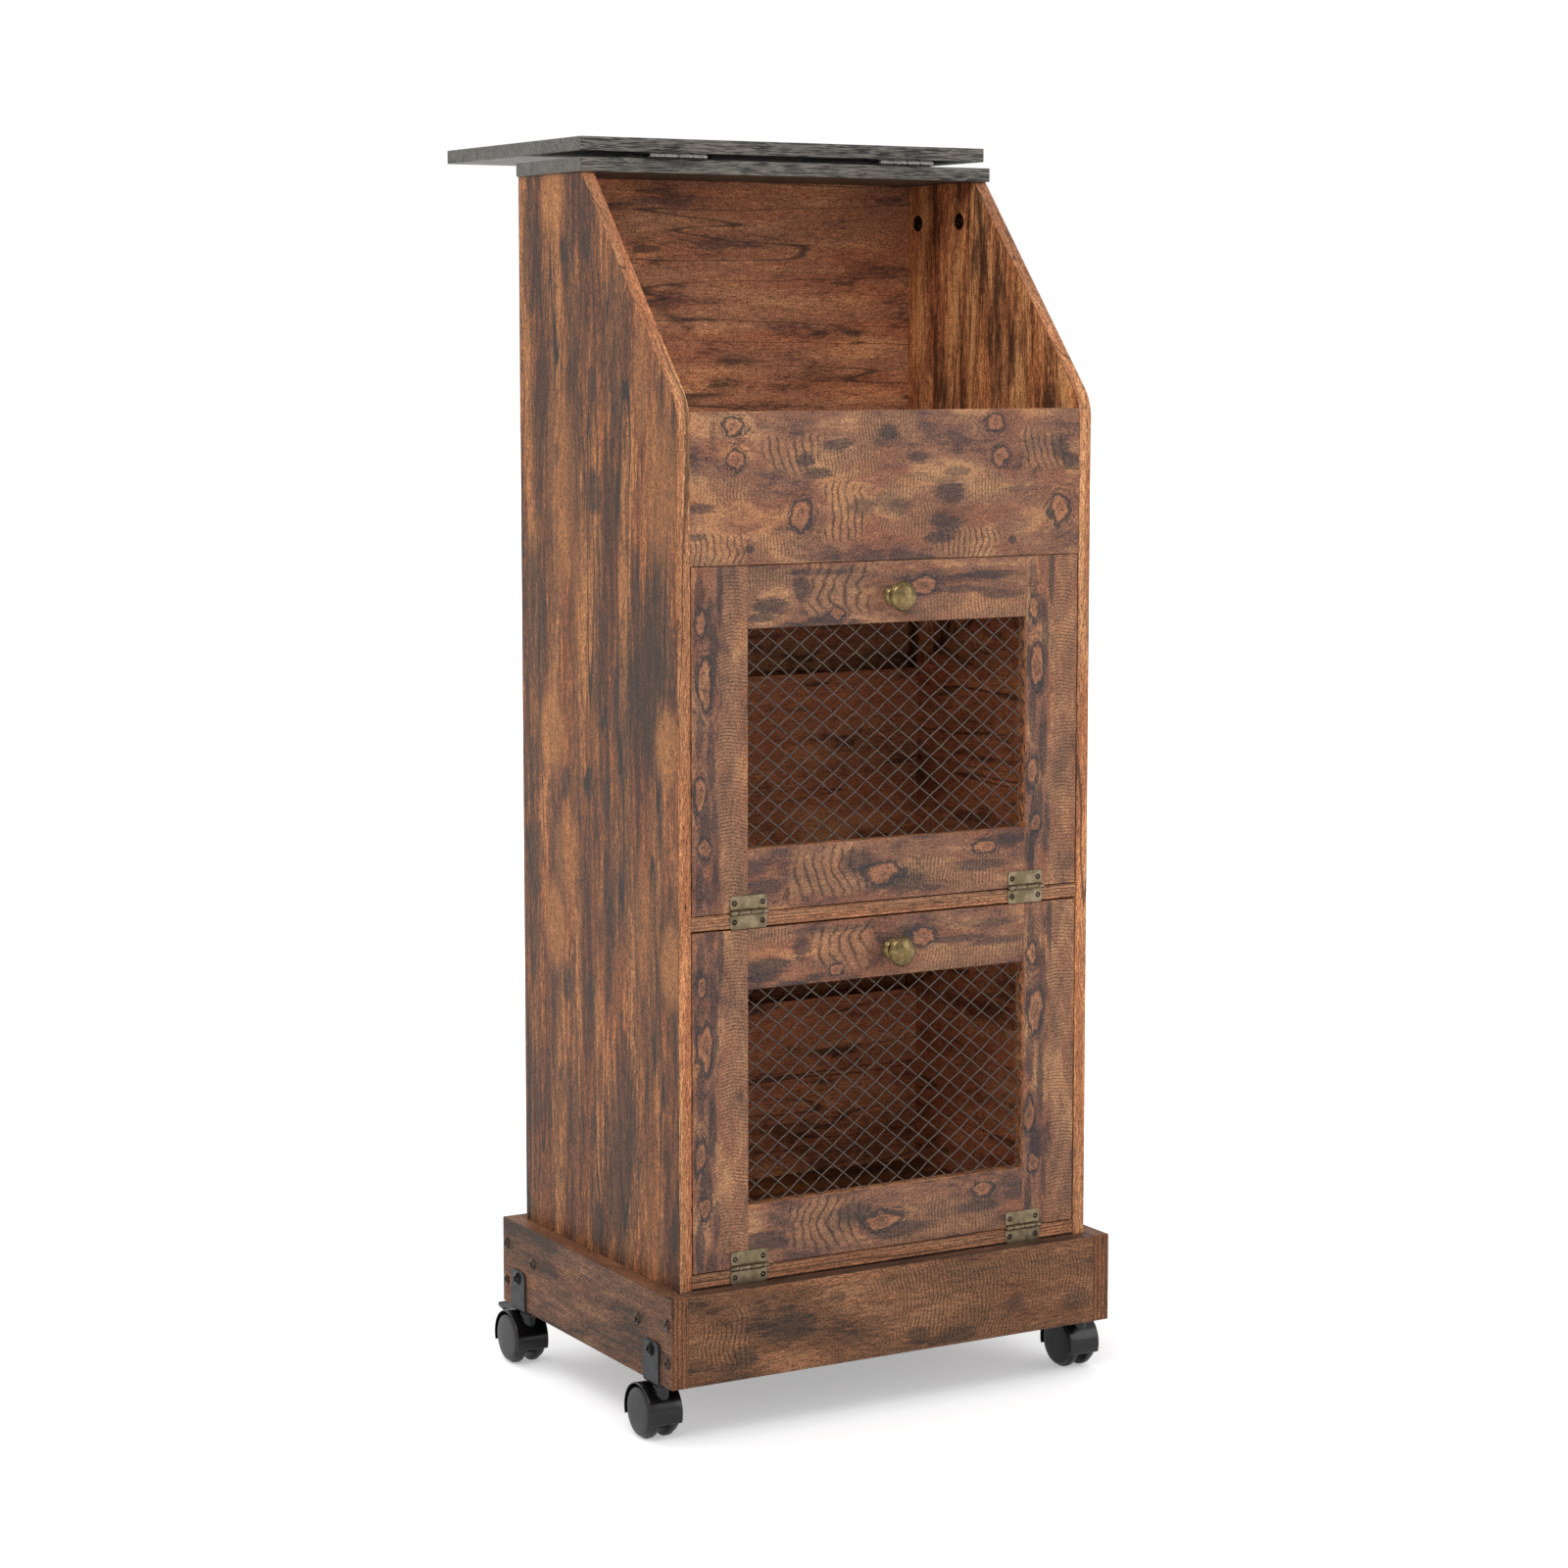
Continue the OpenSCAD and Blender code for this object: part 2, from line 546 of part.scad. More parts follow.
// wheel on one side of the web; s is -1 or 1
module wheel(s) difference() {
    union() {
        xcyl(s < 0 ? -15 : wheel_x0, s < 0 ? -wheel_x0 : 15, trail, wheel_r, wheel_r, 96);
        xcyl(s < 0 ? -wheel_x1 : wheel_x0, s < 0 ? -wheel_x0 : wheel_x1, trail, wheel_r, wheel_r - 2, 96);
    }
    xcyl(s < 0 ? -14.4 : wheel_x0 - 1, s < 0 ? -wheel_x0 + 1 : 14.4, trail, wheel_r, 3.05);
}

// brake lever: pivot boss, neck through the hood and foot tab
module brake_lever() union() {
    xcyl(-3.9, 3.9, trail + 10, wheel_r + 15, 1.5, 32);
    xcyl(-2.3, 2.3, trail + 10, wheel_r + 15, 3, 32);
    box([-2.3, trail + 8, wheel_r + 16], [2.3, trail + 20, wheel_r + 21]);
    yz_plate(-7.5, 15) polygon([
        [trail + 18, wheel_r + 18.6],
        [trail + 19, wheel_r + 21.4],
        [trail + 33, wheel_r + 23.4],
        [trail + 33.6, wheel_r + 20.6]
    ]);
}

module at(sx, sy) translate([sx * stem_x, sy < 0 ? yf + stem_in : yb - stem_in, 0]) children();

module caster_fl_housing() color(black) at(-1, -1) housing(false);
module caster_fl_wheel_outer() color(black) at(-1, -1) wheel(-1);
module caster_fl_wheel_inner() color(black) at(-1, -1) wheel(1);
module caster_fr_housing() color(black) at(1, -1) housing(false);
module caster_fr_wheel_outer() color(black) at(1, -1) wheel(1);
module caster_fr_wheel_inner() color(black) at(1, -1) wheel(-1);
module caster_bl_housing() color(black) at(-1, 1) housing(true);
module caster_bl_wheel_outer() color(black) at(-1, 1) wheel(-1);
module caster_bl_wheel_inner() color(black) at(-1, 1) wheel(1);
module caster_bl_brake() color(black) at(-1, 1) brake_lever();
module caster_br_housing() color(black) at(1, 1) housing(true);
module caster_br_wheel_outer() color(black) at(1, 1) wheel(1);
module caster_br_wheel_inner() color(black) at(1, 1) wheel(-1);
module caster_br_brake() color(black) at(1, 1) brake_lever();

side_panel_left();
side_panel_right();
back_panel();
top_board();
front_panel();
top_bin_floor();
middle_shelf();
bottom_shelf();
plinth_front();
plinth_back();
plinth_left();
plinth_right();
cam_locks();
cam_bolts();
plinth_screws();
caster_brackets();
caster_stems();
shelf_hinge_leaves();
top_hinge_leaves();
hinge_pins();
body_hinge_screws();
magnetic_catches();
lid();
lid_hinge_leaves();
lid_hinge_screws();
upper_stiles();
upper_rails();
upper_mesh();
upper_knob();
upper_hinge_leaves();
upper_fixings();
upper_bin_sides();
upper_bin_back();
upper_bin_bottom();
upper_strike_plate();
lower_stiles();
lower_rails();
lower_mesh();
lower_knob();
lower_hinge_leaves();
lower_fixings();
lower_bin_sides();
lower_bin_back();
lower_bin_bottom();
lower_strike_plate();
caster_fl_housing();
caster_fl_wheel_outer();
caster_fl_wheel_inner();
caster_fr_housing();
caster_fr_wheel_outer();
caster_fr_wheel_inner();
caster_bl_housing();
caster_bl_wheel_outer();
caster_bl_wheel_inner();
caster_bl_brake();
caster_br_housing();
caster_br_wheel_outer();
caster_br_wheel_inner();
caster_br_brake();
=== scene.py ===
# Tilt-out bin cabinet on four twin-wheel casters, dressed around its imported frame.
# Lengths are in metres. The frame's origin is on the floor and its -Y side is the front.
import json
import math

import bmesh
import bpy
import numpy as np
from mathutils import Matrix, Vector


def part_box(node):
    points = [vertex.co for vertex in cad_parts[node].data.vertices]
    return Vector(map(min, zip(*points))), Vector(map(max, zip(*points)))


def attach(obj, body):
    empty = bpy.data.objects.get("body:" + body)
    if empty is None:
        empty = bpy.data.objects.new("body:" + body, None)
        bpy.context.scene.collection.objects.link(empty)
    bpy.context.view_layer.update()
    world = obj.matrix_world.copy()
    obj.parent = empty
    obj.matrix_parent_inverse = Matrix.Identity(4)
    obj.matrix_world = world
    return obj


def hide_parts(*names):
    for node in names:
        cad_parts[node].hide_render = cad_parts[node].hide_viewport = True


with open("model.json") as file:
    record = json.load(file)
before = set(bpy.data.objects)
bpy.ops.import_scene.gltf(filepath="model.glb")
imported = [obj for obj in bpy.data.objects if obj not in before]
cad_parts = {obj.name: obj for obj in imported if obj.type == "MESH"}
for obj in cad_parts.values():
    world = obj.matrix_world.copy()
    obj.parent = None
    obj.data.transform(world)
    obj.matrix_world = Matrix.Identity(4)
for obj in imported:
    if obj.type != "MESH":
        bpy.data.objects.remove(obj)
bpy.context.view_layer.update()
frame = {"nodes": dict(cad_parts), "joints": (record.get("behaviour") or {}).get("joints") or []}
scene = bpy.context.scene
MM = 0.001

# ---- The view: a long lens from the front left, a little above the cabinet's middle.
camera_data = bpy.data.cameras.new("camera")
camera_data.sensor_width = 36.0
camera_data.lens = 80.90
camera_data.shift_y = -0.035
camera = bpy.data.objects.new("camera", camera_data)
camera.location = (-1.544186, -2.658455, 0.910689)
camera.rotation_euler = tuple(math.radians(a) for a in (83.743, 0.0, -29.838))
scene.collection.objects.link(camera)
scene.camera = camera
scene.view_settings.view_transform = "Standard"


def put(tree, kind, inputs=None, out=0, **settings):
    """One shader node. The settings are its properties; each of its inputs, by name or
    number, is given a value or the socket that feeds it. Returns its output socket."""
    node = tree.nodes.new("ShaderNode" + kind)
    for key, value in settings.items():
        setattr(node, key, value)
    for key, value in (inputs or {}).items():
        if isinstance(value, bpy.types.NodeSocket):
            tree.links.new(value, node.inputs[key])
        else:
            node.inputs[key].default_value = value
    return node.outputs[out] if len(node.outputs) else node


def tint(red, green, blue):
    """A colour as seen, 0 to 255, as the linear light that a shader wants."""
    seen = np.array([red, green, blue]) / 255.0
    linear = np.where(seen <= 0.04045, seen / 12.92, ((seen + 0.055) / 1.055) ** 2.4)
    return (*map(float, linear), 1.0)


def seen_directly(tree):
    """1 for camera, glossy and transmission rays, 0 for the rays that carry light."""
    path = put(tree, "LightPath").node
    some = put(tree, "Math", {0: path.outputs["Is Camera Ray"], 1: path.outputs["Is Glossy Ray"]},
               operation="MAXIMUM")
    return put(tree, "Math", {0: some, 1: path.outputs["Is Transmission Ray"]}, operation="MAXIMUM")


# ---- The studio: white all round, three soft lamps, and a pale floor that keeps the shadow.
world = bpy.data.worlds.new("studio")
scene.world = world
world.use_nodes = True
world.node_tree.nodes.clear()
WORLD_LIGHT = 0.92
level = put(world.node_tree, "MapRange", {0: seen_directly(world.node_tree), 3: WORLD_LIGHT, 4: 1.0})
sky = put(world.node_tree, "Background", {"Color": (1.0, 1.0, 1.0, 1.0), "Strength": level})
put(world.node_tree, "OutputWorld", {"Surface": sky})

for name, place, size, power in (
    ("key", (-1.7, -2.3, 3.2), 1.5, 42.0),
    ("fill", (2.6, -2.9, 1.5), 2.2, 20.0),
    ("back", (-1.2, 2.4, 2.4), 1.6, 22.0),
):
    lamp = bpy.data.lights.new(name, "AREA")
    lamp.shape = "DISK"
    lamp.size = size
    lamp.energy = power
    light = bpy.data.objects.new(name, lamp)
    light.location = place
    light.rotation_euler = (Vector((0.0, 0.0, 0.5)) - Vector(place)).to_track_quat("-Z", "Y").to_euler()
    scene.collection.objects.link(light)

floor_mesh = bpy.data.meshes.new("floor")
reach = 30.0
floor_mesh.from_pydata([(-reach, -reach, 0), (reach, -reach, 0), (reach, reach, 0), (-reach, reach, 0)],
                       [], [(0, 1, 2, 3)])
floor = bpy.data.objects.new("floor", floor_mesh)
scene.collection.objects.link(floor)
floor_finish = bpy.data.materials.new("floor_white")
floor_finish.use_nodes = True
tree = floor_finish.node_tree
tree.nodes.clear()
# the lift that makes the lit floor white grows away from the object, where the lamps fade
away = put(tree, "VectorMath", {0: put(tree, "TexCoord", out="Object")}, out=1, operation="LENGTH")
away = put(tree, "MapRange", {0: away, 1: 0.6, 2: 2.2, 3: 0.36, 4: 1.0}, interpolation_type="SMOOTHSTEP")
white = put(tree, "BsdfDiffuse", {"Color": (0.8, 0.8, 0.8, 1.0)})
lift = put(tree, "Math", {0: seen_directly(tree), 1: away}, operation="MULTIPLY")
glow = put(tree, "Emission", {"Color": (1.0, 1.0, 1.0, 1.0), "Strength": lift})
put(tree, "OutputMaterial", {"Surface": put(tree, "AddShader", {0: white, 1: glow})})
floor_mesh.materials.append(floor_finish)


# ---- Side panels: 12 mm particle board in a rustic wood print, the grain upright. Their
# edges are banded with a plainer, lighter strip. They stand inside the plinth.
def board(outline, low, high, axis, arris=0.5 * MM, face=0, edge=1, steps=3):
    """A board cut to a closed outline. The outline is carried across the thickness; near
    each face it draws in by arris(1 - sin t) at the depth arris(1 - cos t), t from 0 to 90
    degrees, which rounds the arris. Outline points run anticlockwise about the axis."""
    a, b, c = {"x": (1, 2, 0), "y": (2, 0, 1), "z": (0, 1, 2)}[axis]
    ring = np.asarray(outline, float)
    along = np.roll(ring, -1, 0) - ring
    along /= np.linalg.norm(along, axis=1, keepdims=True)
    out = np.stack([along[:, 1], -along[:, 0]], 1)
    before = np.roll(out, 1, 0)
    mitre = (out + before) / (1.0 + (out * before).sum(1, keepdims=True))
    turn = np.linspace(0.0, math.pi / 2, steps + 1)
    draw = arris * (1 - np.sin(turn))
    deep = arris * (1 - np.cos(turn))
    inset = np.concatenate([draw, draw[::-1]])
    height = np.concatenate([low + deep, (high - deep)[::-1]])
    points = np.zeros((len(inset), len(ring), 3))
    points[..., [a, b]] = ring[None] - inset[:, None, None] * mitre[None]
    points[..., c] = height[:, None]
    verts, faces, marks, smooth = skin(points, around=True, mark=edge)
    rows = np.repeat(np.arange(len(inset) - 1), len(ring))
    marks = np.where((rows < steps // 2 + 1) | (rows > len(inset) - 3 - steps // 2), face, edge)
    smooth = rows != steps
    count = len(ring)
    first = list(range(count))[::-1]
    last = list(range((len(inset) - 1) * count, len(inset) * count))
    return verts, faces + [first, last], np.append(marks, [face, face]), np.append(smooth, [False] * 2)


def skin(points, around=False, mark=0):
    """The skin over a grid of points: one quad for each cell, closed around the second
    direction if asked."""
    rows, columns = points.shape[:2]
    number = np.arange(rows * columns).reshape(rows, columns)
    if around:
        number = np.hstack([number, number[:, :1]])
    quads = np.stack([number[:-1, :-1], number[:-1, 1:], number[1:, 1:], number[1:, :-1]], -1)
    quads = quads.reshape(-1, 4)
    return points.reshape(-1, 3), quads.tolist(), np.full(len(quads), mark), np.full(len(quads), True)


def piece(name, shells, finishes, body, slot, *nodes):
    """The shells joined into one object at the origin, doubles merged and faces turned
    outwards. It rides on the body and stands for the nodes."""
    start, verts, faces = 0, [], []
    for shell in shells:
        verts.append(shell[0])
        faces += [[corner + start for corner in face] for face in shell[1]]
        start += len(shell[0])
    mesh = bpy.data.meshes.new(name)
    mesh.from_pydata(np.concatenate(verts).tolist(), [], faces)
    mesh.polygons.foreach_set("material_index", np.concatenate([s[2] for s in shells]).astype(np.int32))
    mesh.polygons.foreach_set("use_smooth", np.concatenate([s[3] for s in shells]).astype(bool))
    for finish in finishes:
        mesh.materials.append(finish)
    work = bmesh.new()
    work.from_mesh(mesh)
    bmesh.ops.remove_doubles(work, verts=work.verts, dist=1e-6)
    bmesh.ops.recalc_face_normals(work, faces=work.faces)
    work.to_mesh(mesh)
    work.free()
    mesh.update()
    thing = bpy.data.objects.new(name, mesh)
    scene.collection.objects.link(thing)
    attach(thing, body)
    if nodes:
        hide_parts(*nodes)
    return thing


def node_group(name, ins, outs):
    """A shader node group with named inputs (with their first values) and outputs."""
    group = bpy.data.node_groups.new(name, "ShaderNodeTree")
    for label, value in ins:
        kind = "Float" if isinstance(value, float) else "Vector" if len(value) == 3 else "Color"
        socket = group.interface.new_socket(name=label, in_out="INPUT", socket_type="NodeSocket" + kind)
        socket.default_value = value
    for label, kind in outs:
        group.interface.new_socket(name=label, in_out="OUTPUT", socket_type="NodeSocket" + kind)
    return group, group.nodes.new("NodeGroupInput").outputs, group.nodes.new("NodeGroupOutput").inputs


def calc(tree, operation, a, b=0.0, c=0.0):
    return put(tree, "Math", {0: a, 1: b, 2: c}, operation=operation)


def move(tree, operation, a, b):
    return put(tree, "VectorMath", {0: a, 1: b}, operation=operation)


def cloud(tree, where, stretch, detail=2.0, rough=0.5):
    """Noise with so many features to the metre along each direction."""
    return put(tree, "TexNoise", {"Vector": move(tree, "MULTIPLY", where, stretch), "Scale": 1.0,
                                  "Detail": detail, "Roughness": rough})


def ramp(tree, value, low, high, start=0.0, end=1.0):
    return put(tree, "MapRange", {0: value, 1: low, 2: high, 3: start, 4: end},
               interpolation_type="SMOOTHSTEP")


def mix(tree, amount, a, b, blend="MIX"):
    return put(tree, "Mix", {0: amount, 6: a, 7: b}, out=2, data_type="RGBA", blend_type=blend)


# The printed wood: broad ragged patches and streaks of three browns, redder here and there,
# charcoal stains, short fibres and grit, thin long lines, saw ripples across and ring lines.
wood_print, given, result = node_group(
    "wood_print",
    [("Vector", (0.0, 0.0, 0.0)), ("Light", (0.3, 0.15, 0.07, 1.0)), ("Middle", (0.2, 0.1, 0.05, 1.0)),
     ("Dark", (0.08, 0.04, 0.03, 1.0)), ("Stain", (0.05, 0.04, 0.035, 1.0)), ("Tone", 0.0),
     ("Patch Length", 0.12), ("Patch Width", 0.04), ("Contrast", 1.0), ("Streak", 1.0), ("Grit", 1.0),
     ("Warmth", 0.8), ("Stains", 1.0), ("Lines", 1.0), ("Ripples", 0.0), ("Rings", 0.0)],
    [("Color", "Color"), ("Roughness", "Float"), ("Height", "Float"), ("Feather", "Float"),
     ("Shade", "Float")])
sway = calc(wood_print, "SUBTRACT", cloud(wood_print, given["Vector"], (5.0, 14.0, 14.0)), 0.5)
drift = put(wood_print, "CombineXYZ", {1: calc(wood_print, "MULTIPLY", sway, 0.016)})
grain = move(wood_print, "ADD", given["Vector"], drift)
size = put(wood_print, "CombineXYZ", {0: calc(wood_print, "DIVIDE", 1.0, given["Patch Length"]),
                                      1: calc(wood_print, "DIVIDE", 1.0, given["Patch Width"]), 2: 9.0})
patches = cloud(wood_print, grain, size, 5.0, 0.62)
aside = move(wood_print, "ADD", grain, (2.37, 1.71, 0.0))
hue = cloud(wood_print, aside, move(wood_print, "MULTIPLY", size, (0.7, 1.3, 1.0)), 3.0, 0.6)
streaks = cloud(wood_print, grain, (15.0, 170.0, 60.0), 4.0, 0.68)
fibres = cloud(wood_print, grain, (110.0, 700.0, 200.0), 3.0, 0.7)
grit = cloud(wood_print, given["Vector"], (620.0, 820.0, 620.0), 2.0, 0.6)
tone = calc(wood_print, "MULTIPLY_ADD", patches, 4.6, -2.3)
tone = calc(wood_print, "MULTIPLY_ADD", calc(wood_print, "SUBTRACT", streaks, 0.5),
            calc(wood_print, "MULTIPLY", given["Streak"], 2.2), tone)
tone = calc(wood_print, "MULTIPLY_ADD", tone, given["Contrast"], 0.5)
tone = calc(wood_print, "MULTIPLY_ADD", calc(wood_print, "SUBTRACT", fibres, 0.5),
            calc(wood_print, "MULTIPLY", given["Streak"], 1.7), tone)
tone = calc(wood_print, "ADD", tone, given["Tone"])
colour = mix(wood_print, ramp(wood_print, tone, -0.15, 0.42), given["Dark"], given["Middle"])
colour = mix(wood_print, ramp(wood_print, tone, 0.5, 1.15), colour, given["Light"])
warm = calc(wood_print, "MULTIPLY", ramp(wood_print, hue, 0.42, 0.62), given["Warmth"])
colour = mix(wood_print, warm, colour, (1.04, 0.86, 0.80, 1.0), "MULTIPLY")
# stains, feathered by the streaks and fibres
feather = calc(wood_print, "MULTIPLY_ADD", streaks, 0.55, calc(wood_print, "MULTIPLY", fibres, 0.45))
stain = cloud(wood_print, grain, (10.0, 40.0, 22.0), 4.0, 0.62)
stain = calc(wood_print, "ADD", calc(wood_print, "MULTIPLY_ADD", feather, 0.6, -0.3), stain)
stain = calc(wood_print, "MULTIPLY", ramp(wood_print, stain, 0.58, 0.68), given["Stains"])
colour = mix(wood_print, calc(wood_print, "MULTIPLY", stain, 0.8), colour, given["Stain"])
# ring lines: the contours of a slow cloud
level = calc(wood_print, "MULTIPLY", cloud(wood_print, grain, (11.0, 26.0, 12.0), 2.0, 0.4), 17.0)
level = calc(wood_print, "ABSOLUTE", calc(wood_print, "SUBTRACT", calc(wood_print, "FRACT", level), 0.5))
where_rings = ramp(wood_print, cloud(wood_print, given["Vector"], (8.0, 17.0, 7.0)), 0.46, 0.56)
ring = calc(wood_print, "MULTIPLY", ramp(wood_print, level, 0.2, 0.03), where_rings)
ring = calc(wood_print, "MULTIPLY", calc(wood_print, "MULTIPLY", ring, given["Rings"]),
            ramp(wood_print, fibres, 0.4, 0.55))
colour = mix(wood_print, calc(wood_print, "MULTIPLY", ring, 0.6), colour, given["Dark"])
# ripples: fine saw marks that cross the grain
wobble = calc(wood_print, "MULTIPLY", cloud(wood_print, given["Vector"], (40.0, 75.0, 30.0), 2.0), 9.0)
run = put(wood_print, "SeparateXYZ", {0: grain})
wave = calc(wood_print, "SINE", calc(wood_print, "MULTIPLY_ADD", run, 2 * math.pi / (3.2 * MM), wobble))
where_ripples = ramp(wood_print, cloud(wood_print, given["Vector"], (13.0, 30.0, 9.0)), 0.42, 0.56)
broken = ramp(wood_print, cloud(wood_print, given["Vector"], (150.0, 420.0, 30.0), 2.0), 0.38, 0.6)
wave = calc(wood_print, "MULTIPLY", ramp(wood_print, wave, -0.1, 0.8), where_ripples)
wave = calc(wood_print, "MULTIPLY", calc(wood_print, "MULTIPLY", wave, broken), given["Ripples"])
colour = mix(wood_print, calc(wood_print, "MULTIPLY", wave, 0.75), colour, given["Dark"])
# grit, dark pores and long thin lines
speck = calc(wood_print, "MULTIPLY", calc(wood_print, "SUBTRACT", fibres, 0.5),
             calc(wood_print, "MULTIPLY_ADD", given["Streak"], 0.3, 0.05))
speck = calc(wood_print, "ADD", speck, calc(wood_print, "SUBTRACT", grit, 0.5))
shade = calc(wood_print, "MULTIPLY_ADD", speck, calc(wood_print, "MULTIPLY", given["Grit"], 3.0), 1.0)
shade = calc(wood_print, "MAXIMUM", shade, 0.3)
pores = ramp(wood_print, cloud(wood_print, grain, (130.0, 1200.0, 300.0), 2.0), 0.56, 0.66)
thread = cloud(wood_print, grain, (1.5, 30.0, 8.0), 1.0)
thread = calc(wood_print, "ABSOLUTE", calc(wood_print, "SUBTRACT", thread, 0.5))
thread = calc(wood_print, "MULTIPLY", ramp(wood_print, thread, 0.009, 0.002), given["Lines"])
few = calc(wood_print, "MULTIPLY", calc(wood_print, "MINIMUM", given["Streak"], 1.0), 0.7)
marks = calc(wood_print, "MAXIMUM", calc(wood_print, "MULTIPLY", pores, few),
             calc(wood_print, "MULTIPLY", thread, 0.75))
colour = mix(wood_print, marks, colour, given["Stain"])
wood_print.links.new(colour, result["Color"])
wood_print.links.new(feather, result["Feather"])
wood_print.links.new(shade, result["Shade"])
wood_print.links.new(calc(wood_print, "MULTIPLY_ADD", fibres, 0.18, 0.40), result["Roughness"])
wood_print.links.new(calc(wood_print, "SUBTRACT", calc(wood_print, "MULTIPLY", grit, 0.6), marks),
                     result["Height"])

# A knot in the print: a reddish core with a dark heart in a thin ragged outline, and broken
# rings around it that fade outwards.
knot_print, given, result = node_group(
    "knot_print",
    [("Vector", (0.0, 0.0, 0.0)), ("Color", (0.2, 0.1, 0.05, 1.0)), ("Feather", 0.5),
     ("Centre", (0.0, 0.0, 0.0)), ("Reach", (100.0, 100.0, 1.0)), ("Core", (0.3, 0.14, 0.07, 1.0)),
     ("Rim", (0.04, 0.03, 0.03, 1.0))],
    [("Color", "Color")])
offset = move(knot_print, "SUBTRACT", given["Vector"], given["Centre"])
offset = move(knot_print, "MULTIPLY", offset, given["Reach"])
flat = put(knot_print, "SeparateXYZ", {0: offset}).node.outputs
flat = put(knot_print, "CombineXYZ", {0: flat[0], 1: flat[1]})
place = move(knot_print, "MULTIPLY", given["Centre"], (37.0, 53.0, 0.0))
ragged = cloud(knot_print, move(knot_print, "ADD", flat, place), (1.0, 1.0, 1.0), 5.0, 0.62)
away = put(knot_print, "VectorMath", {0: flat}, out=1, operation="LENGTH")
away = calc(knot_print, "ADD", away, calc(knot_print, "MULTIPLY_ADD", ragged, 1.8, -0.9))
broken = ramp(knot_print, given["Feather"], 0.38, 0.55, 0.25, 1.0)
colour = mix(knot_print, ramp(knot_print, away, 1.0, 0.6, 0.0, 0.5), given["Color"], given["Core"])
circle = calc(knot_print, "ABSOLUTE", calc(knot_print, "SUBTRACT", calc(knot_print, "FRACT", calc(
    knot_print, "MULTIPLY", away, 1.9)), 0.5))
circle = calc(knot_print, "MULTIPLY", ramp(knot_print, circle, 0.22, 0.03),
              calc(knot_print, "MULTIPLY", ramp(knot_print, away, 2.8, 1.2, 0.0, 0.75), broken))
inner = calc(knot_print, "ABSOLUTE", calc(knot_print, "SUBTRACT", away, 0.95))
rim = calc(knot_print, "MAXIMUM", ramp(knot_print, inner, 0.24, 0.08, 0.0, 0.85), circle)
rim = calc(knot_print, "MAXIMUM", rim, ramp(knot_print, away, 0.25, -0.1, 0.0, 0.55))
colour = mix(knot_print, rim, colour, given["Rim"])
knot_print.links.new(colour, result["Color"])

# A placed stain or pale patch, its edge feathered along the grain.
stain_print, given, result = node_group(
    "stain_print",
    [("Vector", (0.0, 0.0, 0.0)), ("Color", (0.2, 0.1, 0.05, 1.0)), ("Feather", 0.5),
     ("Centre", (0.0, 0.0, 0.0)), ("Reach", (100.0, 100.0, 1.0)), ("Stain", (0.05, 0.04, 0.035, 1.0)),
     ("Strength", 0.8)],
    [("Color", "Color")])
offset = move(stain_print, "SUBTRACT", given["Vector"], given["Centre"])
offset = move(stain_print, "MULTIPLY", offset, given["Reach"])
flat = put(stain_print, "SeparateXYZ", {0: offset}).node.outputs
flat = put(stain_print, "CombineXYZ", {0: flat[0], 1: flat[1]})
away = put(stain_print, "VectorMath", {0: flat}, out=1, operation="LENGTH")
away = calc(stain_print, "ADD", away, calc(stain_print, "MULTIPLY_ADD", given["Feather"], 2.2, -1.1))
amount = calc(stain_print, "MULTIPLY", ramp(stain_print, away, 1.3, 0.7), given["Strength"])
worn = calc(stain_print, "MULTIPLY", amount, ramp(stain_print, given["Feather"], 0.2, 0.5, 1.0, 0.8))
stain_print.links.new(mix(stain_print, worn, given["Color"], given["Stain"]), result["Color"])

# A placed field of saw ripples: wavy dark lines across the grain on a paler ground.
ripple_print, given, result = node_group(
    "ripple_print",
    [("Vector", (0.0, 0.0, 0.0)), ("Color", (0.2, 0.1, 0.05, 1.0)), ("Feather", 0.5),
     ("Centre", (0.0, 0.0, 0.0)), ("Reach", (100.0, 100.0, 1.0)), ("Pale", (0.3, 0.15, 0.08, 1.0)),
     ("Deep", (0.06, 0.04, 0.03, 1.0)), ("Pitch", 400.0), ("Bow", 30.0), ("Strength", 0.95)],
    [("Color", "Color")])
offset = move(ripple_print, "SUBTRACT", given["Vector"], given["Centre"])
spread = move(ripple_print, "MULTIPLY", offset, given["Reach"])
spread = move(ripple_print, "ABSOLUTE", spread, (0.0, 0.0, 0.0))
spread = put(ripple_print, "SeparateXYZ", {0: spread}).node.outputs
feather = cloud(ripple_print, given["Vector"], (34.0, 60.0, 40.0), 3.0, 0.6)
spread = calc(ripple_print, "MAXIMUM", spread[0], spread[1])
spread = calc(ripple_print, "ADD", spread, calc(ripple_print, "MULTIPLY_ADD", feather, 2.2, -1.1))
field = calc(ripple_print, "MULTIPLY", ramp(ripple_print, spread, 1.15, 0.8), given["Strength"])
flat = put(ripple_print, "SeparateXYZ", {0: offset}).node.outputs
bow = calc(ripple_print, "MULTIPLY", calc(ripple_print, "MULTIPLY", flat[1], flat[1]), given["Bow"])
waver = cloud(ripple_print, given["Vector"], (16.0, 34.0, 40.0), 2.0, 0.5)
phase = calc(ripple_print, "MULTIPLY", calc(ripple_print, "ADD", flat[0], bow), given["Pitch"])
phase = calc(ripple_print, "MULTIPLY_ADD", waver, 3.6, phase)
phase = calc(ripple_print, "MULTIPLY_ADD", given["Feather"], 0.5, phase)
line = calc(ripple_print, "SUBTRACT", calc(ripple_print, "FRACT", phase), 0.5)
line = calc(ripple_print, "ABSOLUTE", line)
broken = cloud(ripple_print, given["Vector"], (200.0, 90.0, 60.0), 2.0)
broken = ramp(ripple_print, broken, 0.3, 0.55, 0.5, 1.0)
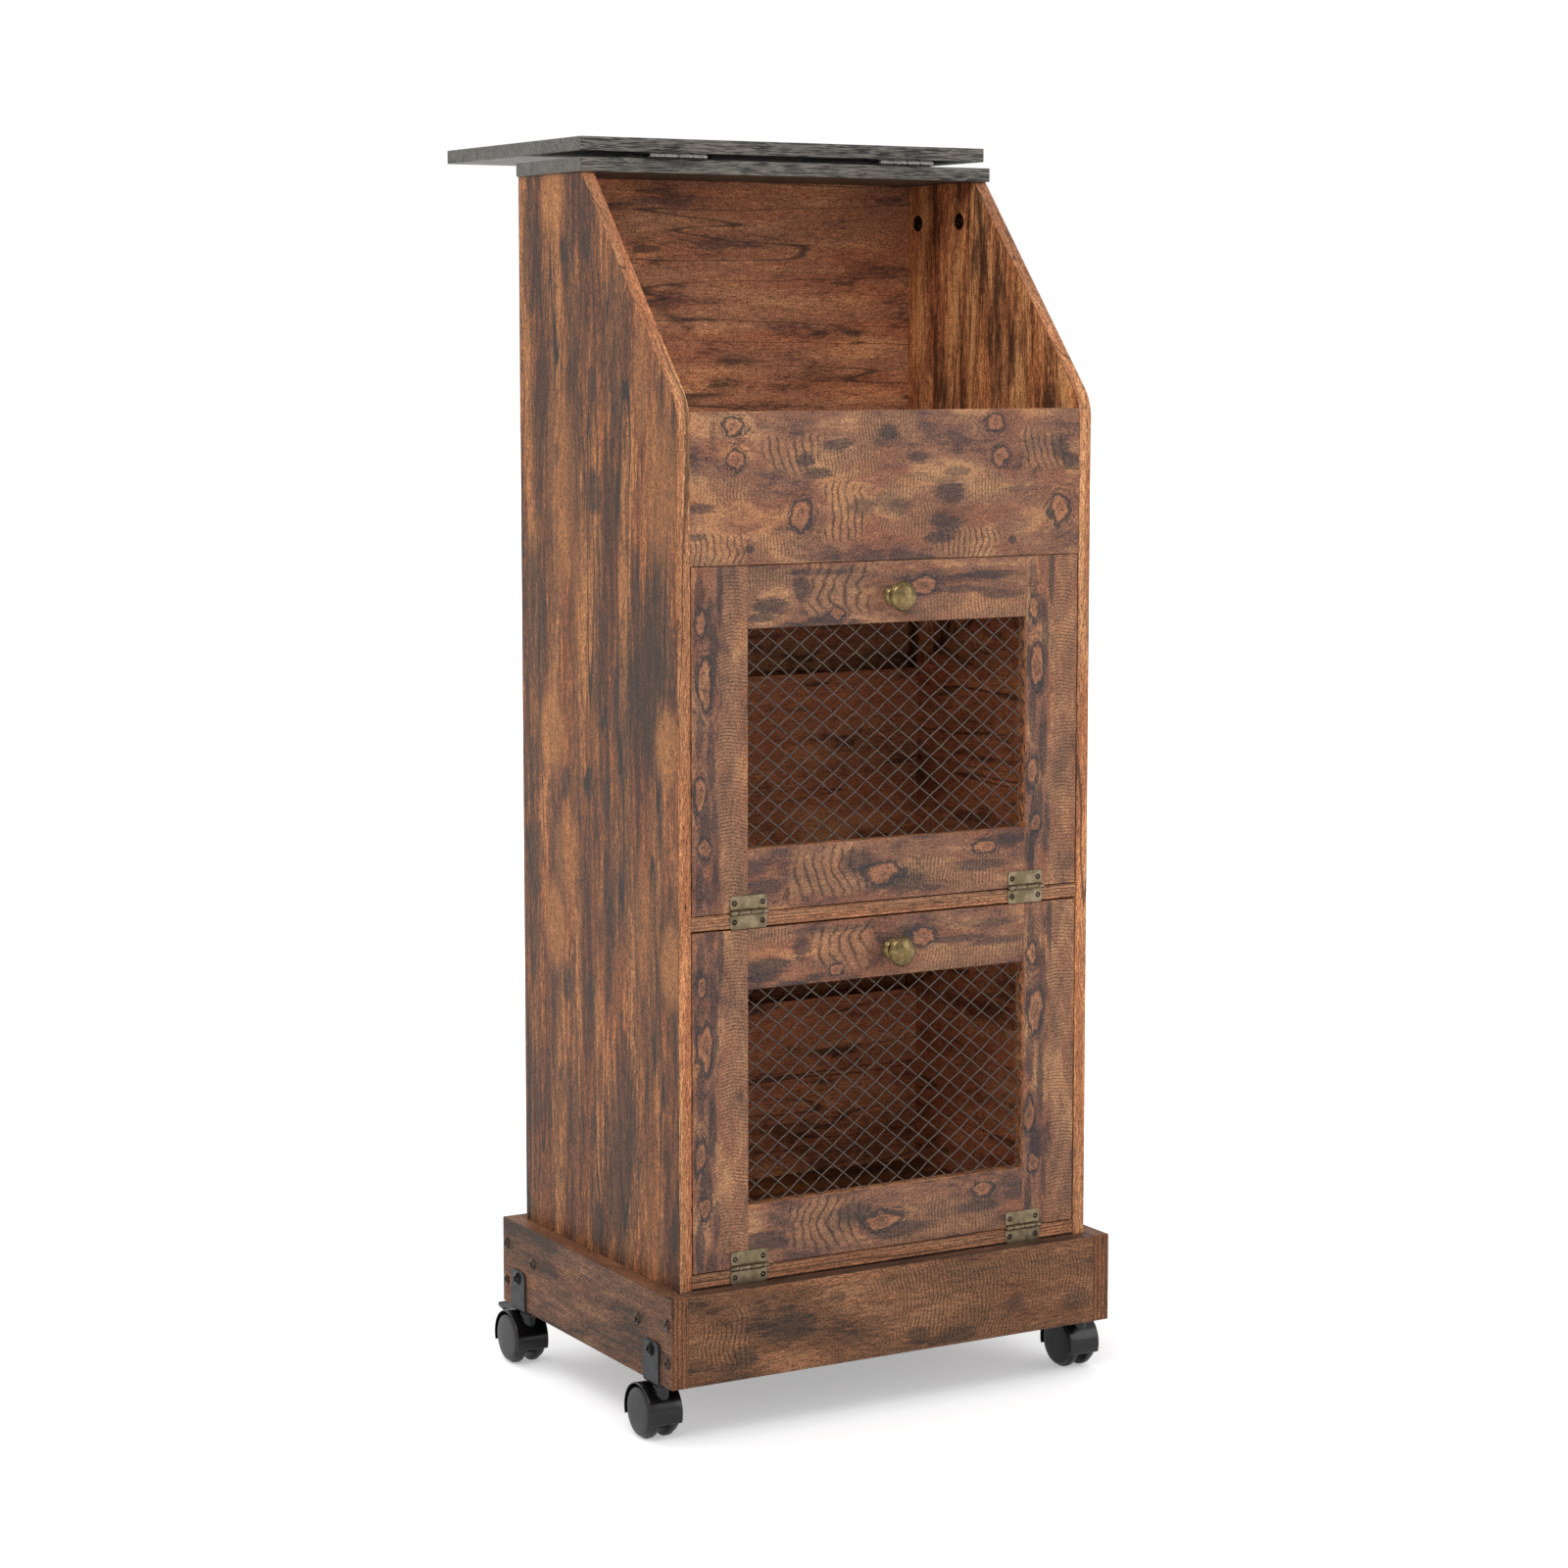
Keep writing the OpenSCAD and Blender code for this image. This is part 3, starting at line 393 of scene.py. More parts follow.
line = calc(ripple_print, "MULTIPLY", ramp(ripple_print, line, 0.26, 0.05), broken)
ground = mix(ripple_print, 0.4, given["Color"], given["Pale"])
ground = mix(ripple_print, calc(ripple_print, "MULTIPLY", line, 0.85), ground, given["Deep"])
ripple_print.links.new(mix(ripple_print, field, given["Color"], ground), result["Color"])

RUSTIC = {"Light": tint(168, 113, 69), "Middle": tint(118, 76, 49), "Dark": tint(74, 51, 39),
          "Stain": tint(50, 42, 37)}


def finish(name, roughness=0.5, metallic=0.0, **sockets):
    """An empty finish: its node tree, its shader, and the object's own coordinates."""
    material = bpy.data.materials.new(name)
    material.use_nodes = True
    shader = material.node_tree.nodes["Principled BSDF"]
    shader.inputs["Roughness"].default_value = roughness
    shader.inputs["Metallic"].default_value = metallic
    for label, value in sockets.items():
        shader.inputs[label.replace("_", " ")].default_value = value
    where = put(material.node_tree, "TexCoord", out="Object")
    return material, material.node_tree, shader, where


def relief(tree, shader, height, depth):
    bump = put(tree, "Bump", {"Strength": 1.0, "Distance": depth, "Height": height})
    tree.links.new(bump, shader.inputs["Normal"])


def wood(name, along, across, shift=(0.0, 0.0, 0.0), knots=(), stains=(), ripples=(),
         strips=None, relief_depth=0.05 * MM, **settings):
    """A wood finish. The print lies with its grain along one axis and its width across
    another; shift slides it; strips are dark lines along the grain: mm apart, how dark.
    Placed marks are in millimetres on the piece: ripples (along, across, half length, half
    width, spacing, bow), stains (along, across, half length, half width, strength, below 0
    for a pale patch) and knots (along, across, half length, half width)."""
    material, tree, shader, where = finish(name, Specular_IOR_Level=0.1)
    parts = put(tree, "SeparateXYZ", {0: where}).node.outputs
    axes = "xyz"
    third = ({0, 1, 2} - {axes.index(along), axes.index(across)}).pop()
    local = put(tree, "CombineXYZ", {0: parts[axes.index(along)], 1: parts[axes.index(across)],
                                     2: parts[third]})
    printed = tree.nodes.new("ShaderNodeGroup")
    printed.node_tree = wood_print
    tree.links.new(move(tree, "ADD", local, shift), printed.inputs["Vector"])
    for label, value in {**RUSTIC, **settings}.items():
        printed.inputs[label.replace("_", " ")].default_value = value
    colour = printed.outputs["Color"]
    tones = {label: socket.default_value[:] for label, socket in printed.inputs.items()
             if label in ("Light", "Dark", "Stain")}
    tones["Core"] = tuple(0.5 * (a + b) * c for a, b, c in zip(
        tones["Light"], printed.inputs["Middle"].default_value, (1.12, 0.95, 0.9, 1.0)))
    tones["Deep"] = tuple(0.62 * a for a in tones["Dark"][:3]) + (1.0,)
    for kind, spots in ((ripple_print, ripples), (stain_print, stains), (knot_print, knots)):
        for spot in spots:
            placed = tree.nodes.new("ShaderNodeGroup")
            placed.node_tree = kind
            given = placed.inputs
            given["Centre"].default_value = (spot[0] * MM, spot[1] * MM, 0.0)
            given["Reach"].default_value = (1 / (spot[2] * MM), 1 / (spot[3] * MM), 1.0)
            if kind is ripple_print:
                given["Pitch"].default_value = 1 / (spot[4] * MM)
                given["Bow"].default_value = spot[5]
                # wide ripples are printed a little stronger than fine saw marks
                given["Strength"].default_value = 0.85 if spot[4] > 4 else 0.75
                given["Pale"].default_value = tones["Light"]
                given["Deep"].default_value = tones["Deep"]
            elif kind is stain_print:
                given["Strength"].default_value = abs(spot[4])
                given["Stain"].default_value = tones["Stain"] if spot[4] > 0 else tones["Light"]
            else:
                given["Rim"].default_value = tones["Stain"]
                given["Core"].default_value = tones["Core"]
            tree.links.new(local, given["Vector"])
            tree.links.new(colour, given["Color"])
            tree.links.new(printed.outputs["Feather"], given["Feather"])
            colour = placed.outputs["Color"]
    if strips:
        level = calc(tree, "DIVIDE", parts[axes.index(across)], strips[0] * MM)
        level = calc(tree, "FRACT", calc(tree, "MULTIPLY_ADD", printed.outputs["Feather"], 0.35, level))
        level = calc(tree, "ABSOLUTE", calc(tree, "SUBTRACT", level, 0.5))
        colour = mix(tree, ramp(tree, level, 0.3, 0.06, 0.0, strips[1]), colour, tones["Deep"])
    colour = mix(tree, 1.0, colour, printed.outputs["Shade"], "MULTIPLY")
    tree.links.new(colour, shader.inputs["Base Color"])
    tree.links.new(printed.outputs["Roughness"], shader.inputs["Roughness"])
    relief(tree, shader, printed.outputs["Height"], relief_depth)
    return material


def block(low, high, axis, **settings):
    """A plain rectangular board between two corners, its own corners rounded too."""
    a, b, c = {"x": (1, 2, 0), "y": (2, 0, 1), "z": (0, 1, 2)}[axis]
    r = settings.get("arris", 0.5 * MM)
    corners = [(low[a] + r, low[b] + r, 180), (high[a] - r, low[b] + r, 270),
               (high[a] - r, high[b] - r, 0), (low[a] + r, high[b] - r, 90)]
    outline = [(x + r * math.cos(math.radians(start + turn)), y + r * math.sin(math.radians(start + turn)))
               for x, y, start in corners for turn in (0, 45, 90)]
    return board(outline, low[c], high[c], axis, **settings)


BAND = {"Light": tint(192, 138, 98), "Middle": tint(160, 110, 78), "Dark": tint(112, 74, 54),
        "Patch_Length": 0.2, "Patch_Width": 0.012, "Stains": 0.15, "Contrast": 0.6, "Tone": 0.1, "Grit": 0.8}
# the upright band's Light is a little paler than the level band's: painted light, standing for light from
# above on the side panels' slanted edge
band_upright = wood("band_upright", "z", "x", (0.3, 0.1, 0.0), **{**BAND, "Light": tint(204, 148, 102)})
band_level = wood("band_level", "x", "z", (0.7, 0.2, 0.0), **BAND)
band_lined = wood("band_lined", "x", "z", (0.7, 0.2, 0.0), strips=(2.7, 0.6), **{
    **BAND, "Light": tint(176, 130, 96), "Middle": tint(146, 105, 78), "Dark": tint(100, 70, 54)})

low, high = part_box("side_panel_left")
front, rear, foot, crown = low.y, high.y, low.z, high.z
SLANT_RUN, SLANT_RISE, CORNER_R = 169 * MM, 193 * MM, 40 * MM
lean = math.atan2(SLANT_RISE, SLANT_RUN)
corner_cut = CORNER_R * math.tan((math.pi / 2 - lean) / 2)
sweep = np.linspace(math.pi, math.pi / 2 + lean, 13)
corner_z = crown - SLANT_RISE - corner_cut
arc = np.stack([front + CORNER_R + CORNER_R * np.cos(sweep), corner_z + CORNER_R * np.sin(sweep)], 1)
panel_outline = np.concatenate([
    [(front, foot), (rear, foot), (rear, crown), (front + SLANT_RUN, crown)], arc[::-1]])
SIDE_STAINS = [
    (910, -39, 81, 31, 0.6), (654, -98, 69, 41, 0.75), (616, -52, 44, 31, 0.5), (229, -42, 87, 34, 0.7),
    (466, -33, 56, 25, 0.4), (679, 120, 69, 25, 0.7), (391, 123, 31, 19, 0.4), (460, 120, 37, 16, 0.6),
    (979, 104, 37, 12, 0.45), (248, 48, 37, 12, 0.55), (898, 42, 37, 12, 0.5), (466, -14, 25, 6, 0.6),
    (582, -128, 31, 20, -0.8), (401, -132, 34, 17, -0.8), (576, 86, 31, 22, -0.8), (404, 83, 37, 17, -0.8),
    (1035, 79, 25, 19, -0.8), (791, -120, 56, 25, -0.5), (885, -83, 50, 12, -0.5), (429, -83, 56, 14, -0.45),
    (791, 61, 75, 25, -0.4), (473, 61, 37, 19, -0.45), (179, -100, 50, 16, -0.3), (700, 30, 60, 12, -0.35),
    (785, 1, 20, 14, 0.95), (991, 14, 14, 6, 0.85), (873, 8, 16, 6, 0.85), (988, 58, 16, 9, 0.9),
    (532, 61, 16, 9, 0.95), (355, 59, 16, 9, 0.95), (535, 15, 16, 6, 0.9), (359, 15, 15, 6, 0.9),
    (235, 11, 18, 6, 0.8), (154, 3, 22, 11, 0.9), (526, -17, 25, 6, 0.85), (623, -38, 22, 6, 0.85),
    (716, -70, 37, 7, 0.75), (641, -114, 25, 7, 0.75), (179, -136, 19, 6, 0.75), (816, 74, 10, 4, 0.75),
    (276, 74, 10, 4, 0.75), (182, 75, 8, 4, 0.75), (300, -128, 22, 7, 0.5), (840, 118, 30, 9, 0.4)]
# the side panels' inner faces take a lighter copy of the print: painted light, standing for fill light inside
# the cabinet
inside = wood("rustic_inside_painted_light", "z", "y", (0.7, 0.5, 0.0), Patch_Length=0.2, Patch_Width=0.024, Contrast=1.1,
              Streak=1.4, Light=tint(226, 162, 106), Middle=tint(170, 112, 74), Dark=tint(94, 62, 44))
for side, shift in (("left", (0.0, 0.0, 0.0)), ("right", (0.41, 0.23, 0.0))):
    low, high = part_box("side_panel_" + side)
    upright = wood("rustic_upright_" + side, "z", "y", shift, stains=SIDE_STAINS, Patch_Length=0.22,
                   Patch_Width=0.03, Contrast=1.05, Streak=1.2, Stains=0.6, Grit=1.15, Lines=1.4, Tone=-0.1)
    verts, faces, marks, smooth = board(panel_outline, low.x, high.x, "x")
    inner = low.x if side == "right" else high.x
    marks[[len(set(face)) > 4 and abs(verts[face[0], 0] - inner) < 0.1 * MM for face in faces]] = 2
    piece("side_panel_" + side + "_dressed", [(verts, faces, marks, smooth)], [upright, band_upright, inside],
          "cabinet", "rustic_wood", "side_panel_" + side)

# ---- Back panel, shelves and the floor of the top bin: the same board, its grain level.
# The shelves' front edges show under the doors, banded with finely lined strips; their dark lines are painted
# shade for the shadows between fine moulded ridges, which are not modelled.
# the back panel's inner face takes a lighter copy of the print than its rear face: painted light, standing
# for fill light inside the cabinet
rustic_back_painted_light = wood("rustic_back_painted_light", "x", "z", (0.13, 0.31, 0.0), Rings=0.5, Light=tint(204, 146, 104),
                    Middle=tint(168, 114, 84), Dark=tint(112, 76, 62), Contrast=0.8, Streak=0.8,
                    Patch_Width=0.03)
rustic_rear = wood("rustic_rear", "x", "z", (0.3, 0.7, 0.0), Rings=0.5)
rustic_shelf = wood("rustic_shelf", "x", "y", (0.55, 0.12, 0.3))
# a near-black print for the bottom shelf's tongue: painted shade for the shadow in the joint over the plinth
joint_painted_shade = wood("joint_painted_shade", "x", "y", (0.2, 0.2, 0.3), Light=tint(58, 42, 34), Middle=tint(40, 30, 26),
                Dark=tint(24, 19, 17), Stain=tint(18, 15, 14))
for name, axis, face in (("back_panel", "y", rustic_back_painted_light), ("top_bin_floor", "z", rustic_shelf),
                         ("middle_shelf", "z", rustic_shelf), ("bottom_shelf", "z", rustic_shelf)):
    low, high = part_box(name)
    tongue = []
    if name == "bottom_shelf":
        # it closes the joint over the plinth a little way back from the front; its near-black print is
        # painted shade, standing for the shadow in that joint
        tongue = [block(Vector((low.x, low.y + 1.2 * MM, low.z - 1.6 * MM)),
                        Vector((high.x, high.y, low.z + 2 * MM)), axis, arris=0.2 * MM, face=2, edge=2)]
        low.z = high.z - 12 * MM
    edge = band_lined if name.endswith("shelf") else band_level
    verts, faces, marks, smooth = block(low, high, axis)
    if name == "back_panel":
        marks[[len(face_at) > 4 and verts[face_at[0], 1] > high.y - 0.1 * MM for face_at in faces]] = 3
    piece(name + "_dressed", [(verts, faces, marks, smooth)] + tongue, [face, edge, joint_painted_shade, rustic_rear],
          "cabinet", "rustic_wood", name)

# ---- Front panel of the top bin: one board with knots and saw marks across its grain.
FRONT = {"Light": tint(169, 126, 92), "Middle": tint(131, 93, 75), "Dark": tint(88, 68, 62),
         "Stain": tint(58, 54, 55), "Patch_Length": 0.06, "Patch_Width": 0.034, "Ripples": 0.3,
         "Rings": 0.1, "Lines": 0.1, "Stains": 0.5, "Contrast": 0.95, "Streak": 0.3, "Grit": 0.95,
         "Warmth": 0.7, "Tone": 0.06}
front_face = wood(
    "rustic_front", "x", "z", (0.9, 0.4, 0.0),
    ripples=[(-95, 820, 25, 14, 7.5, -6), (-46, 769, 20, 25, 6.8, -5), (-163, 744, 27, 12, 6, 14),
             (78, 744, 29, 12, 6, 14), (156, 821, 22, 14, 7.5, -6), (-40, 812, 30, 12, 3.2, 0),
             (-10, 842, 35, 12, 3.0, 0), (15, 790, 25, 10, 3.2, 0), (20, 762, 24, 12, 3.2, 0),
             (-160, 790, 24, 10, 3.2, 0), (95, 790, 28, 10, 3.2, 0), (-110, 745, 24, 10, 3.2, 0)],
    knots=[(-148, 815, 9, 9), (-86, 769, 11, 13), (110, 815, 9, 9), (170, 769, 11, 13),
           (-151, 844, 11, 8), (104, 844, 11, 8)],
    stains=[(-82, 815, 8, 7, 0.9), (-70, 803, 14, 5, 0.85), (-52, 827, 13, 5, 0.85), (-2, 837, 9, 7, 0.85),
            (28, 815, 10, 5, 0.8), (60, 785, 16, 9, 0.9), (-4, 778, 12, 10, 0.55), (-28, 774, 12, 8, 0.55),
            (9, 774, 10, 7, 0.6), (51, 762, 14, 5, 0.8), (57, 756, 12, 5, 0.8), (48, 747, 14, 4, 0.85),
            (-180, 777, 16, 4, 0.85), (-184, 754, 10, 3, 0.75), (-135, 743, 4, 3.6, 0.95),
            (122, 743, 4, 3.6, 0.95),
            (171, 821, 9, 10, 0.85), (182, 810, 10, 7, 0.9), (66, 803, 14, 4, 0.6), (-169, 836, 3, 14, 0.5),
            (-112, 787, 22, 3, 0.5), (130, 787, 24, 3, 0.5), (-186, 812, 4, 16, 0.4),
            (-60, 735, 30, 4, 0.45)],
    **FRONT)
low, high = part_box("front_panel")
piece("front_panel_dressed", [block(low, high, "y", arris=0.3 * MM)], [front_face, band_level], "cabinet",
      "rustic_wood", "front_panel")


# ---- Plinth: four 16 mm boards round the foot of the body, the side boards running through
# and covering the ends of the other two. A darker print with fine open grain lies along them.
PLINTH = {"Light": tint(142, 101, 73), "Middle": tint(107, 75, 55), "Dark": tint(67, 50, 41),
          "Stain": tint(50, 44, 40), "Patch_Length": 0.12, "Patch_Width": 0.026, "Stains": 0.5,
          "Contrast": 0.8, "Streak": 0.8, "Lines": 0.35, "Grit": 1.1, "Warmth": 0.5}
plinth_across = wood(
    "plinth_across", "x", "z", (0.2, 0.6, 0.1),
    ripples=[(54, 92, 62, 36, 3.8, 5), (-168, 86, 22, 22, 4.6, 2.5), (165, 98, 34, 26, 3.6, 4)],
    stains=[(-106, 90, 28, 14, 0.8), (-150, 70, 14, 9, 0.7), (20, 66, 12, 8, 0.7), (120, 80, 10, 7, 0.6),
            (-60, 110, 10, 6, 0.6), (60, 60, 20, 6, 0.6), (185, 75, 16, 10, 0.6), (-40, 72, 20, 6, 0.5)],
    **PLINTH)
plinth_along = wood("plinth_along", "y", "z", (0.5, 0.3, 0.2), strips=(2.6, 0.55),
                    **{**PLINTH, "Contrast": 1.1})
PLINTH_END = {**PLINTH, "Light": tint(150, 103, 72), "Middle": tint(124, 83, 58), "Tone": 0.05,
              "Stains": 0.3}
plinth_end = wood("plinth_end", "z", "x", (0.1, 0.8, 0.4), strips=(4.2, 0.6), **PLINTH_END)
plinth_rim = wood("plinth_rim", "x", "y", (0.1, 0.8, 0.4), **{
    **PLINTH, "Light": tint(112, 83, 65), "Middle": tint(88, 65, 52), "Dark": tint(60, 46, 39)})
for name, axis, face, edge in (
    ("plinth_front", "y", plinth_across, plinth_rim), ("plinth_back", "y", plinth_across, plinth_rim),
    ("plinth_left", "x", plinth_along, plinth_end), ("plinth_right", "x", plinth_along, plinth_end),
):
    low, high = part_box(name)
    piece(name + "_dressed", [block(low, high, axis, arris=0.7 * MM)], [face, edge], "cabinet",
          "rustic_wood_dark", name)

# ---- Screw heads: round-headed and cross-recessed; the plinth's are in a dark bronze finish.


def speckle(tree, where, scale, detail=2.0):
    return put(tree, "TexNoise", {"Vector": where, "Scale": scale, "Detail": detail})


def metal(name, pale, deep, roughness, metallic=1.0, blotch=220.0, bump=0.012 * MM, **sockets):
    """A metal or moulded finish that varies between two colours in soft blotches, with
    fine grit in its gloss and surface."""
    material, tree, shader, where = finish(name, roughness, metallic, **sockets)
    soft = ramp(tree, speckle(tree, where, blotch, 3.0), 0.36, 0.66)
    grit = speckle(tree, where, 2600.0)
    tree.links.new(mix(tree, soft, deep, pale), shader.inputs["Base Color"])
    gloss = calc(tree, "MULTIPLY_ADD", soft, -0.07, roughness - 0.05)
    gloss = calc(tree, "MULTIPLY_ADD", grit, 0.16, gloss)
    tree.links.new(gloss, shader.inputs["Roughness"])
    relief(tree, shader, grit, bump)
    return material


bronze = metal("dark_bronze", tint(78, 66, 57), tint(42, 35, 31), 0.22, bump=0.004 * MM)
black_screw = metal("black_screw", tint(44, 41, 39), tint(20, 19, 19), 0.2, bump=0.004 * MM)
steel = metal("zinc_steel", tint(168, 163, 158), tint(138, 133, 128), 0.34)


def screw_head(centre, facing, radius, dome, turn=0.0, arm=0.62, rim=0.0):
    """A round head on a polar grid: it rises from the rim to the middle by dome cos, less a
    recess where the point is inside either arm of a cross."""
    rings = np.concatenate([[0.0], np.linspace(0.06, 0.72, 12), np.linspace(0.78, 1.0, 6)])
    angle = np.linspace(0.0, 2 * math.pi, 48, endpoint=False)
    r, a = np.meshgrid(rings * radius, angle, indexing="ij")
    p, q = r * np.cos(a + turn), r * np.sin(a + turn)
    thin, long = 0.15 * radius, arm * radius

    def inside(value, limit, soft):
        return 1.0 / (1.0 + np.exp(np.clip((np.abs(value) - limit) / soft, -40, 40)))

    soft = 0.035 * radius
    cross = np.maximum(inside(p, thin, soft) * inside(q, long, soft),
                       inside(q, thin, soft) * inside(p, long, soft))
    rise = rim + dome * np.sqrt(np.clip(1.0 - (r / radius) ** 2 * 0.97, 0.0, 1.0)) - 0.55 * radius * cross
    r, a = np.vstack([r, r[-1:]]), np.vstack([a, a[-1:]])
    rise = np.vstack([rise, np.full((1, 48), -0.3 * MM)])
    return turned(centre, facing, r, rise, a)


def turned(centre, facing, radius, rise, angle):
    """Points at a radius and an angle around a line, and so far along it, as a skin with
    both ends closed."""
    n = np.asarray(facing, float)
    e1 = np.array([0.0, 0.0, 1.0]) if abs(n[2]) < 0.9 else np.array([1.0, 0.0, 0.0])
    e2 = np.cross(n, e1)
    points = (np.asarray(centre) + rise[..., None] * n
              + (radius * np.cos(angle))[..., None] * e1 + (radius * np.sin(angle))[..., None] * e2)
    verts, faces, marks, smooth = skin(points, around=True)
    rows, columns = radius.shape
    for row in (0, rows - 1):
        if np.ptp(points[row], axis=0).max() > 1e-7:
            faces.append(list(range(row * columns, (row + 1) * columns)))
            marks, smooth = np.append(marks, 0), np.append(smooth, False)
    return verts, faces, marks, smooth


def lathe(profile, centre, facing, count=64, eased=0):
    """A profile of (radius, height) points turned around the line through the centre, its
    corners cut round so many times: each corner gives way to two points a quarter in."""
    path = np.asarray(profile, float) * MM
    for _ in range(eased):
        a, b = path[:-1], path[1:]
        cut = np.stack([0.75 * a + 0.25 * b, 0.25 * a + 0.75 * b], 1).reshape(-1, 2)
        path = np.concatenate([path[:1], cut, path[-1:]])
    angle = np.broadcast_to(np.linspace(0, 2 * math.pi, count, endpoint=False), (len(path), count))
    return turned(centre, facing, np.broadcast_to(path[:, :1], angle.shape),
                  np.broadcast_to(path[:, 1:], angle.shape), angle)


low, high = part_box("plinth_left")
plinth_top, plinth_foot, plinth_x = high.z, low.z, -low.x
middle_y = (low.y + high.y) / 2
screws = []
for side in (-1, 1):
    for end in (-1, 1):
        edge_y = middle_y + end * (high.y - low.y) / 2
        for inward, down, turn in ((8, 23, 0.3), (8, 56, 0.7), (61, 30, 1.1)):
            screws.append(screw_head((side * plinth_x, edge_y - end * inward * MM, plinth_top - down * MM),
                                     (side, 0, 0), 5 * MM, 1.8 * MM, turn + end, rim=0.2 * MM))
piece("plinth_screws_dressed", screws, [bronze], "cabinet", "black_metal", "plinth_screws")

# ---- Caster straps: 2 mm steel strip with a rounded top, folded under the side boards and
# powder-coated black. Each is held by one screw and carries the seat of a caster's stem.
powder = metal("powder_black", tint(34, 36, 40), tint(29, 30, 33), 0.5, metallic=0.0, blotch=90.0,
               bump=0.02 * MM, Specular_IOR_Level=0.35)
STRAP_HALF, STRAP_T, FOLD_R = 13.3 * MM, 2.0 * MM, 3.0 * MM


def capped(points):
    """The skin around a grid of points, with its first and last ring closed."""
    verts, faces, marks, smooth = skin(points, around=True)
    rows, columns = points.shape[:2]
    faces += [list(range(columns)), list(range((rows - 1) * columns, rows * columns))]
    return verts, faces, np.append(marks, [0, 0]), np.append(smooth, [False, False])


def strap(side, y):
    """A strip along a path in (x, z): down the board, round the fold and in under it. Its
    half width rounds off at the top as sqrt(1 - t^2)."""
    top, foot_x = plinth_foot + 35 * MM, plinth_x - 15 * MM
    bend = np.linspace(0.0, math.pi / 2, 7)
    drop = np.concatenate([top - 5 * MM * (1 - np.cos(np.linspace(0.0, math.pi / 2, 9))),
                           [plinth_foot + 20 * MM, plinth_foot + FOLD_R]])
    outer = np.concatenate([
        np.stack([np.full(len(drop), plinth_x + STRAP_T), drop], 1),
        np.stack([plinth_x + STRAP_T - FOLD_R + FOLD_R * np.cos(bend[1:]),
                  plinth_foot + FOLD_R - STRAP_T - FOLD_R * np.sin(bend[1:])], 1),
        [[foot_x, plinth_foot - STRAP_T]]])
    outer[len(drop) - 1, 1] = plinth_foot + FOLD_R - STRAP_T
    normal = np.concatenate([np.tile([1.0, 0.0], (len(drop), 1)),
                             np.stack([np.cos(bend[1:]), -np.sin(bend[1:])], 1), [[0.0, -1.0]]])
    inner = outer - STRAP_T * normal
    down = np.clip((top - outer[:, 1]) / (5 * MM), 0, 1)
    half = STRAP_HALF - 5 * MM * (1 - np.sqrt(np.clip(1 - (1 - down) ** 2, 0, 1)))
    soft = 0.35 * MM
    loop = []
    for edge, depth, across in ((outer, soft, 1), (outer, 0, soft), (outer, 0, -soft), (outer, soft, -1),
                                (inner, -soft, -1), (inner, 0, -soft), (inner, 0, soft), (inner, -soft, 1)):
        spread = np.sign(across) * (half - (0 if abs(across) == 1 else soft))
        spot = edge - depth * normal
        loop.append(np.stack([side * spot[:, 0], y + spread, spot[:, 1]], 1))
    verts, faces, marks, smooth = capped(np.stack(loop, 1))
    return verts, faces, marks, np.zeros_like(smooth)


low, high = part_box("caster_stems")
stem_x = high.x - 6 * MM
stem_y = high.y - 6 * MM
STEMS = [(sx, sy) for sx in (-1, 1) for sy in (-1, 1)]
straps, heads = [], []
for sx, sy in STEMS:
    straps.append(strap(sx, sy * stem_y))
    place = (sx * (plinth_x + STRAP_T), sy * stem_y, plinth_foot + 28 * MM)
    heads.append(lathe([(0, -0.2), (5.9, -0.2), (6.0, 0.5), (5.7, 1.0), (4.8, 1.2), (0, 1.2)], place,
                       (sx, 0, 0), 48, 1))
    heads.append(screw_head((place[0] + sx * 0.9 * MM, place[1], place[2]), (sx, 0, 0), 4.8 * MM, 2.0 * MM,
                            0.5 * sy, rim=0.2 * MM))
piece("caster_straps_dressed", straps, [powder], "cabinet", "black_metal", "caster_brackets")
piece("strap_screws", heads, [black_screw], "cabinet", "black_metal")


def repaint(node, look):
    """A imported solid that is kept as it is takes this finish."""
    frame["nodes"][node].data.materials.clear()
    frame["nodes"][node].data.materials.append(look)


for node in ("caster_stems", "cam_bolts"):
    repaint(node, steel)

# ---- Casters: a moulded hood over two wheels on a central web, with a boss for the stem on
# its front. Satin black hood, charcoal wheels. The back pair has a foot tab for the brake.
hood_black = metal("hood_black", tint(12, 12, 13), tint(7, 7, 8), 0.2, metallic=0.0, blotch=60.0,
                   bump=0.002 * MM, Specular_IOR_Level=0.4)
wheel_black = metal("wheel_black", tint(19, 19, 18), tint(13, 13, 13), 0.36, metallic=0.0, blotch=60.0,
                    Specular_IOR_Level=0.35)
WHEEL_R, TRAIL = 23 * MM, 14 * MM
HOOD_BACK, HOOD_FRONT = -17, 198  # degrees: 17 below level behind, 18 in front


def round_about(section, start, stop, x, y, z, count):
    """A closed section of (across, radius) points swept round an axle between two angles,
    counted from straight behind, up over the top and down the front. The ends are closed."""
    a = np.radians(np.linspace(start, stop, count))[:, None]
    section = np.asarray(section) * MM
    points = np.stack([x + section[:, 0] + 0 * a, y + section[:, 1] * np.cos(a),
                       z + section[:, 1] * np.sin(a)], -1)
    return capped(points)


# the hood's skin: 1.2 mm thick, its outer corners rounded into a small lip
hood_section = [(-15.2, 23.7), (-15.2, 24.0), (-15.0, 24.45), (-14.6, 24.72), (-14.0, 24.8), (-8, 24.8),
                (0, 24.8), (8, 24.8), (14.0, 24.8), (14.6, 24.72), (15.0, 24.45), (15.2, 24.0), (15.2, 23.7),
                (14.9, 23.6), (8, 23.6), (-8, 23.6), (-14.9, 23.6)]
web_section = [(-4.6, 4.0), (-4.6, 24.1), (4.6, 24.1), (4.6, 4.0)]
core_section = [(-4.6, 0.5), (-4.6, 15.6), (-4.2, 16.0), (4.2, 16.0), (4.6, 15.6), (4.6, 0.5)]
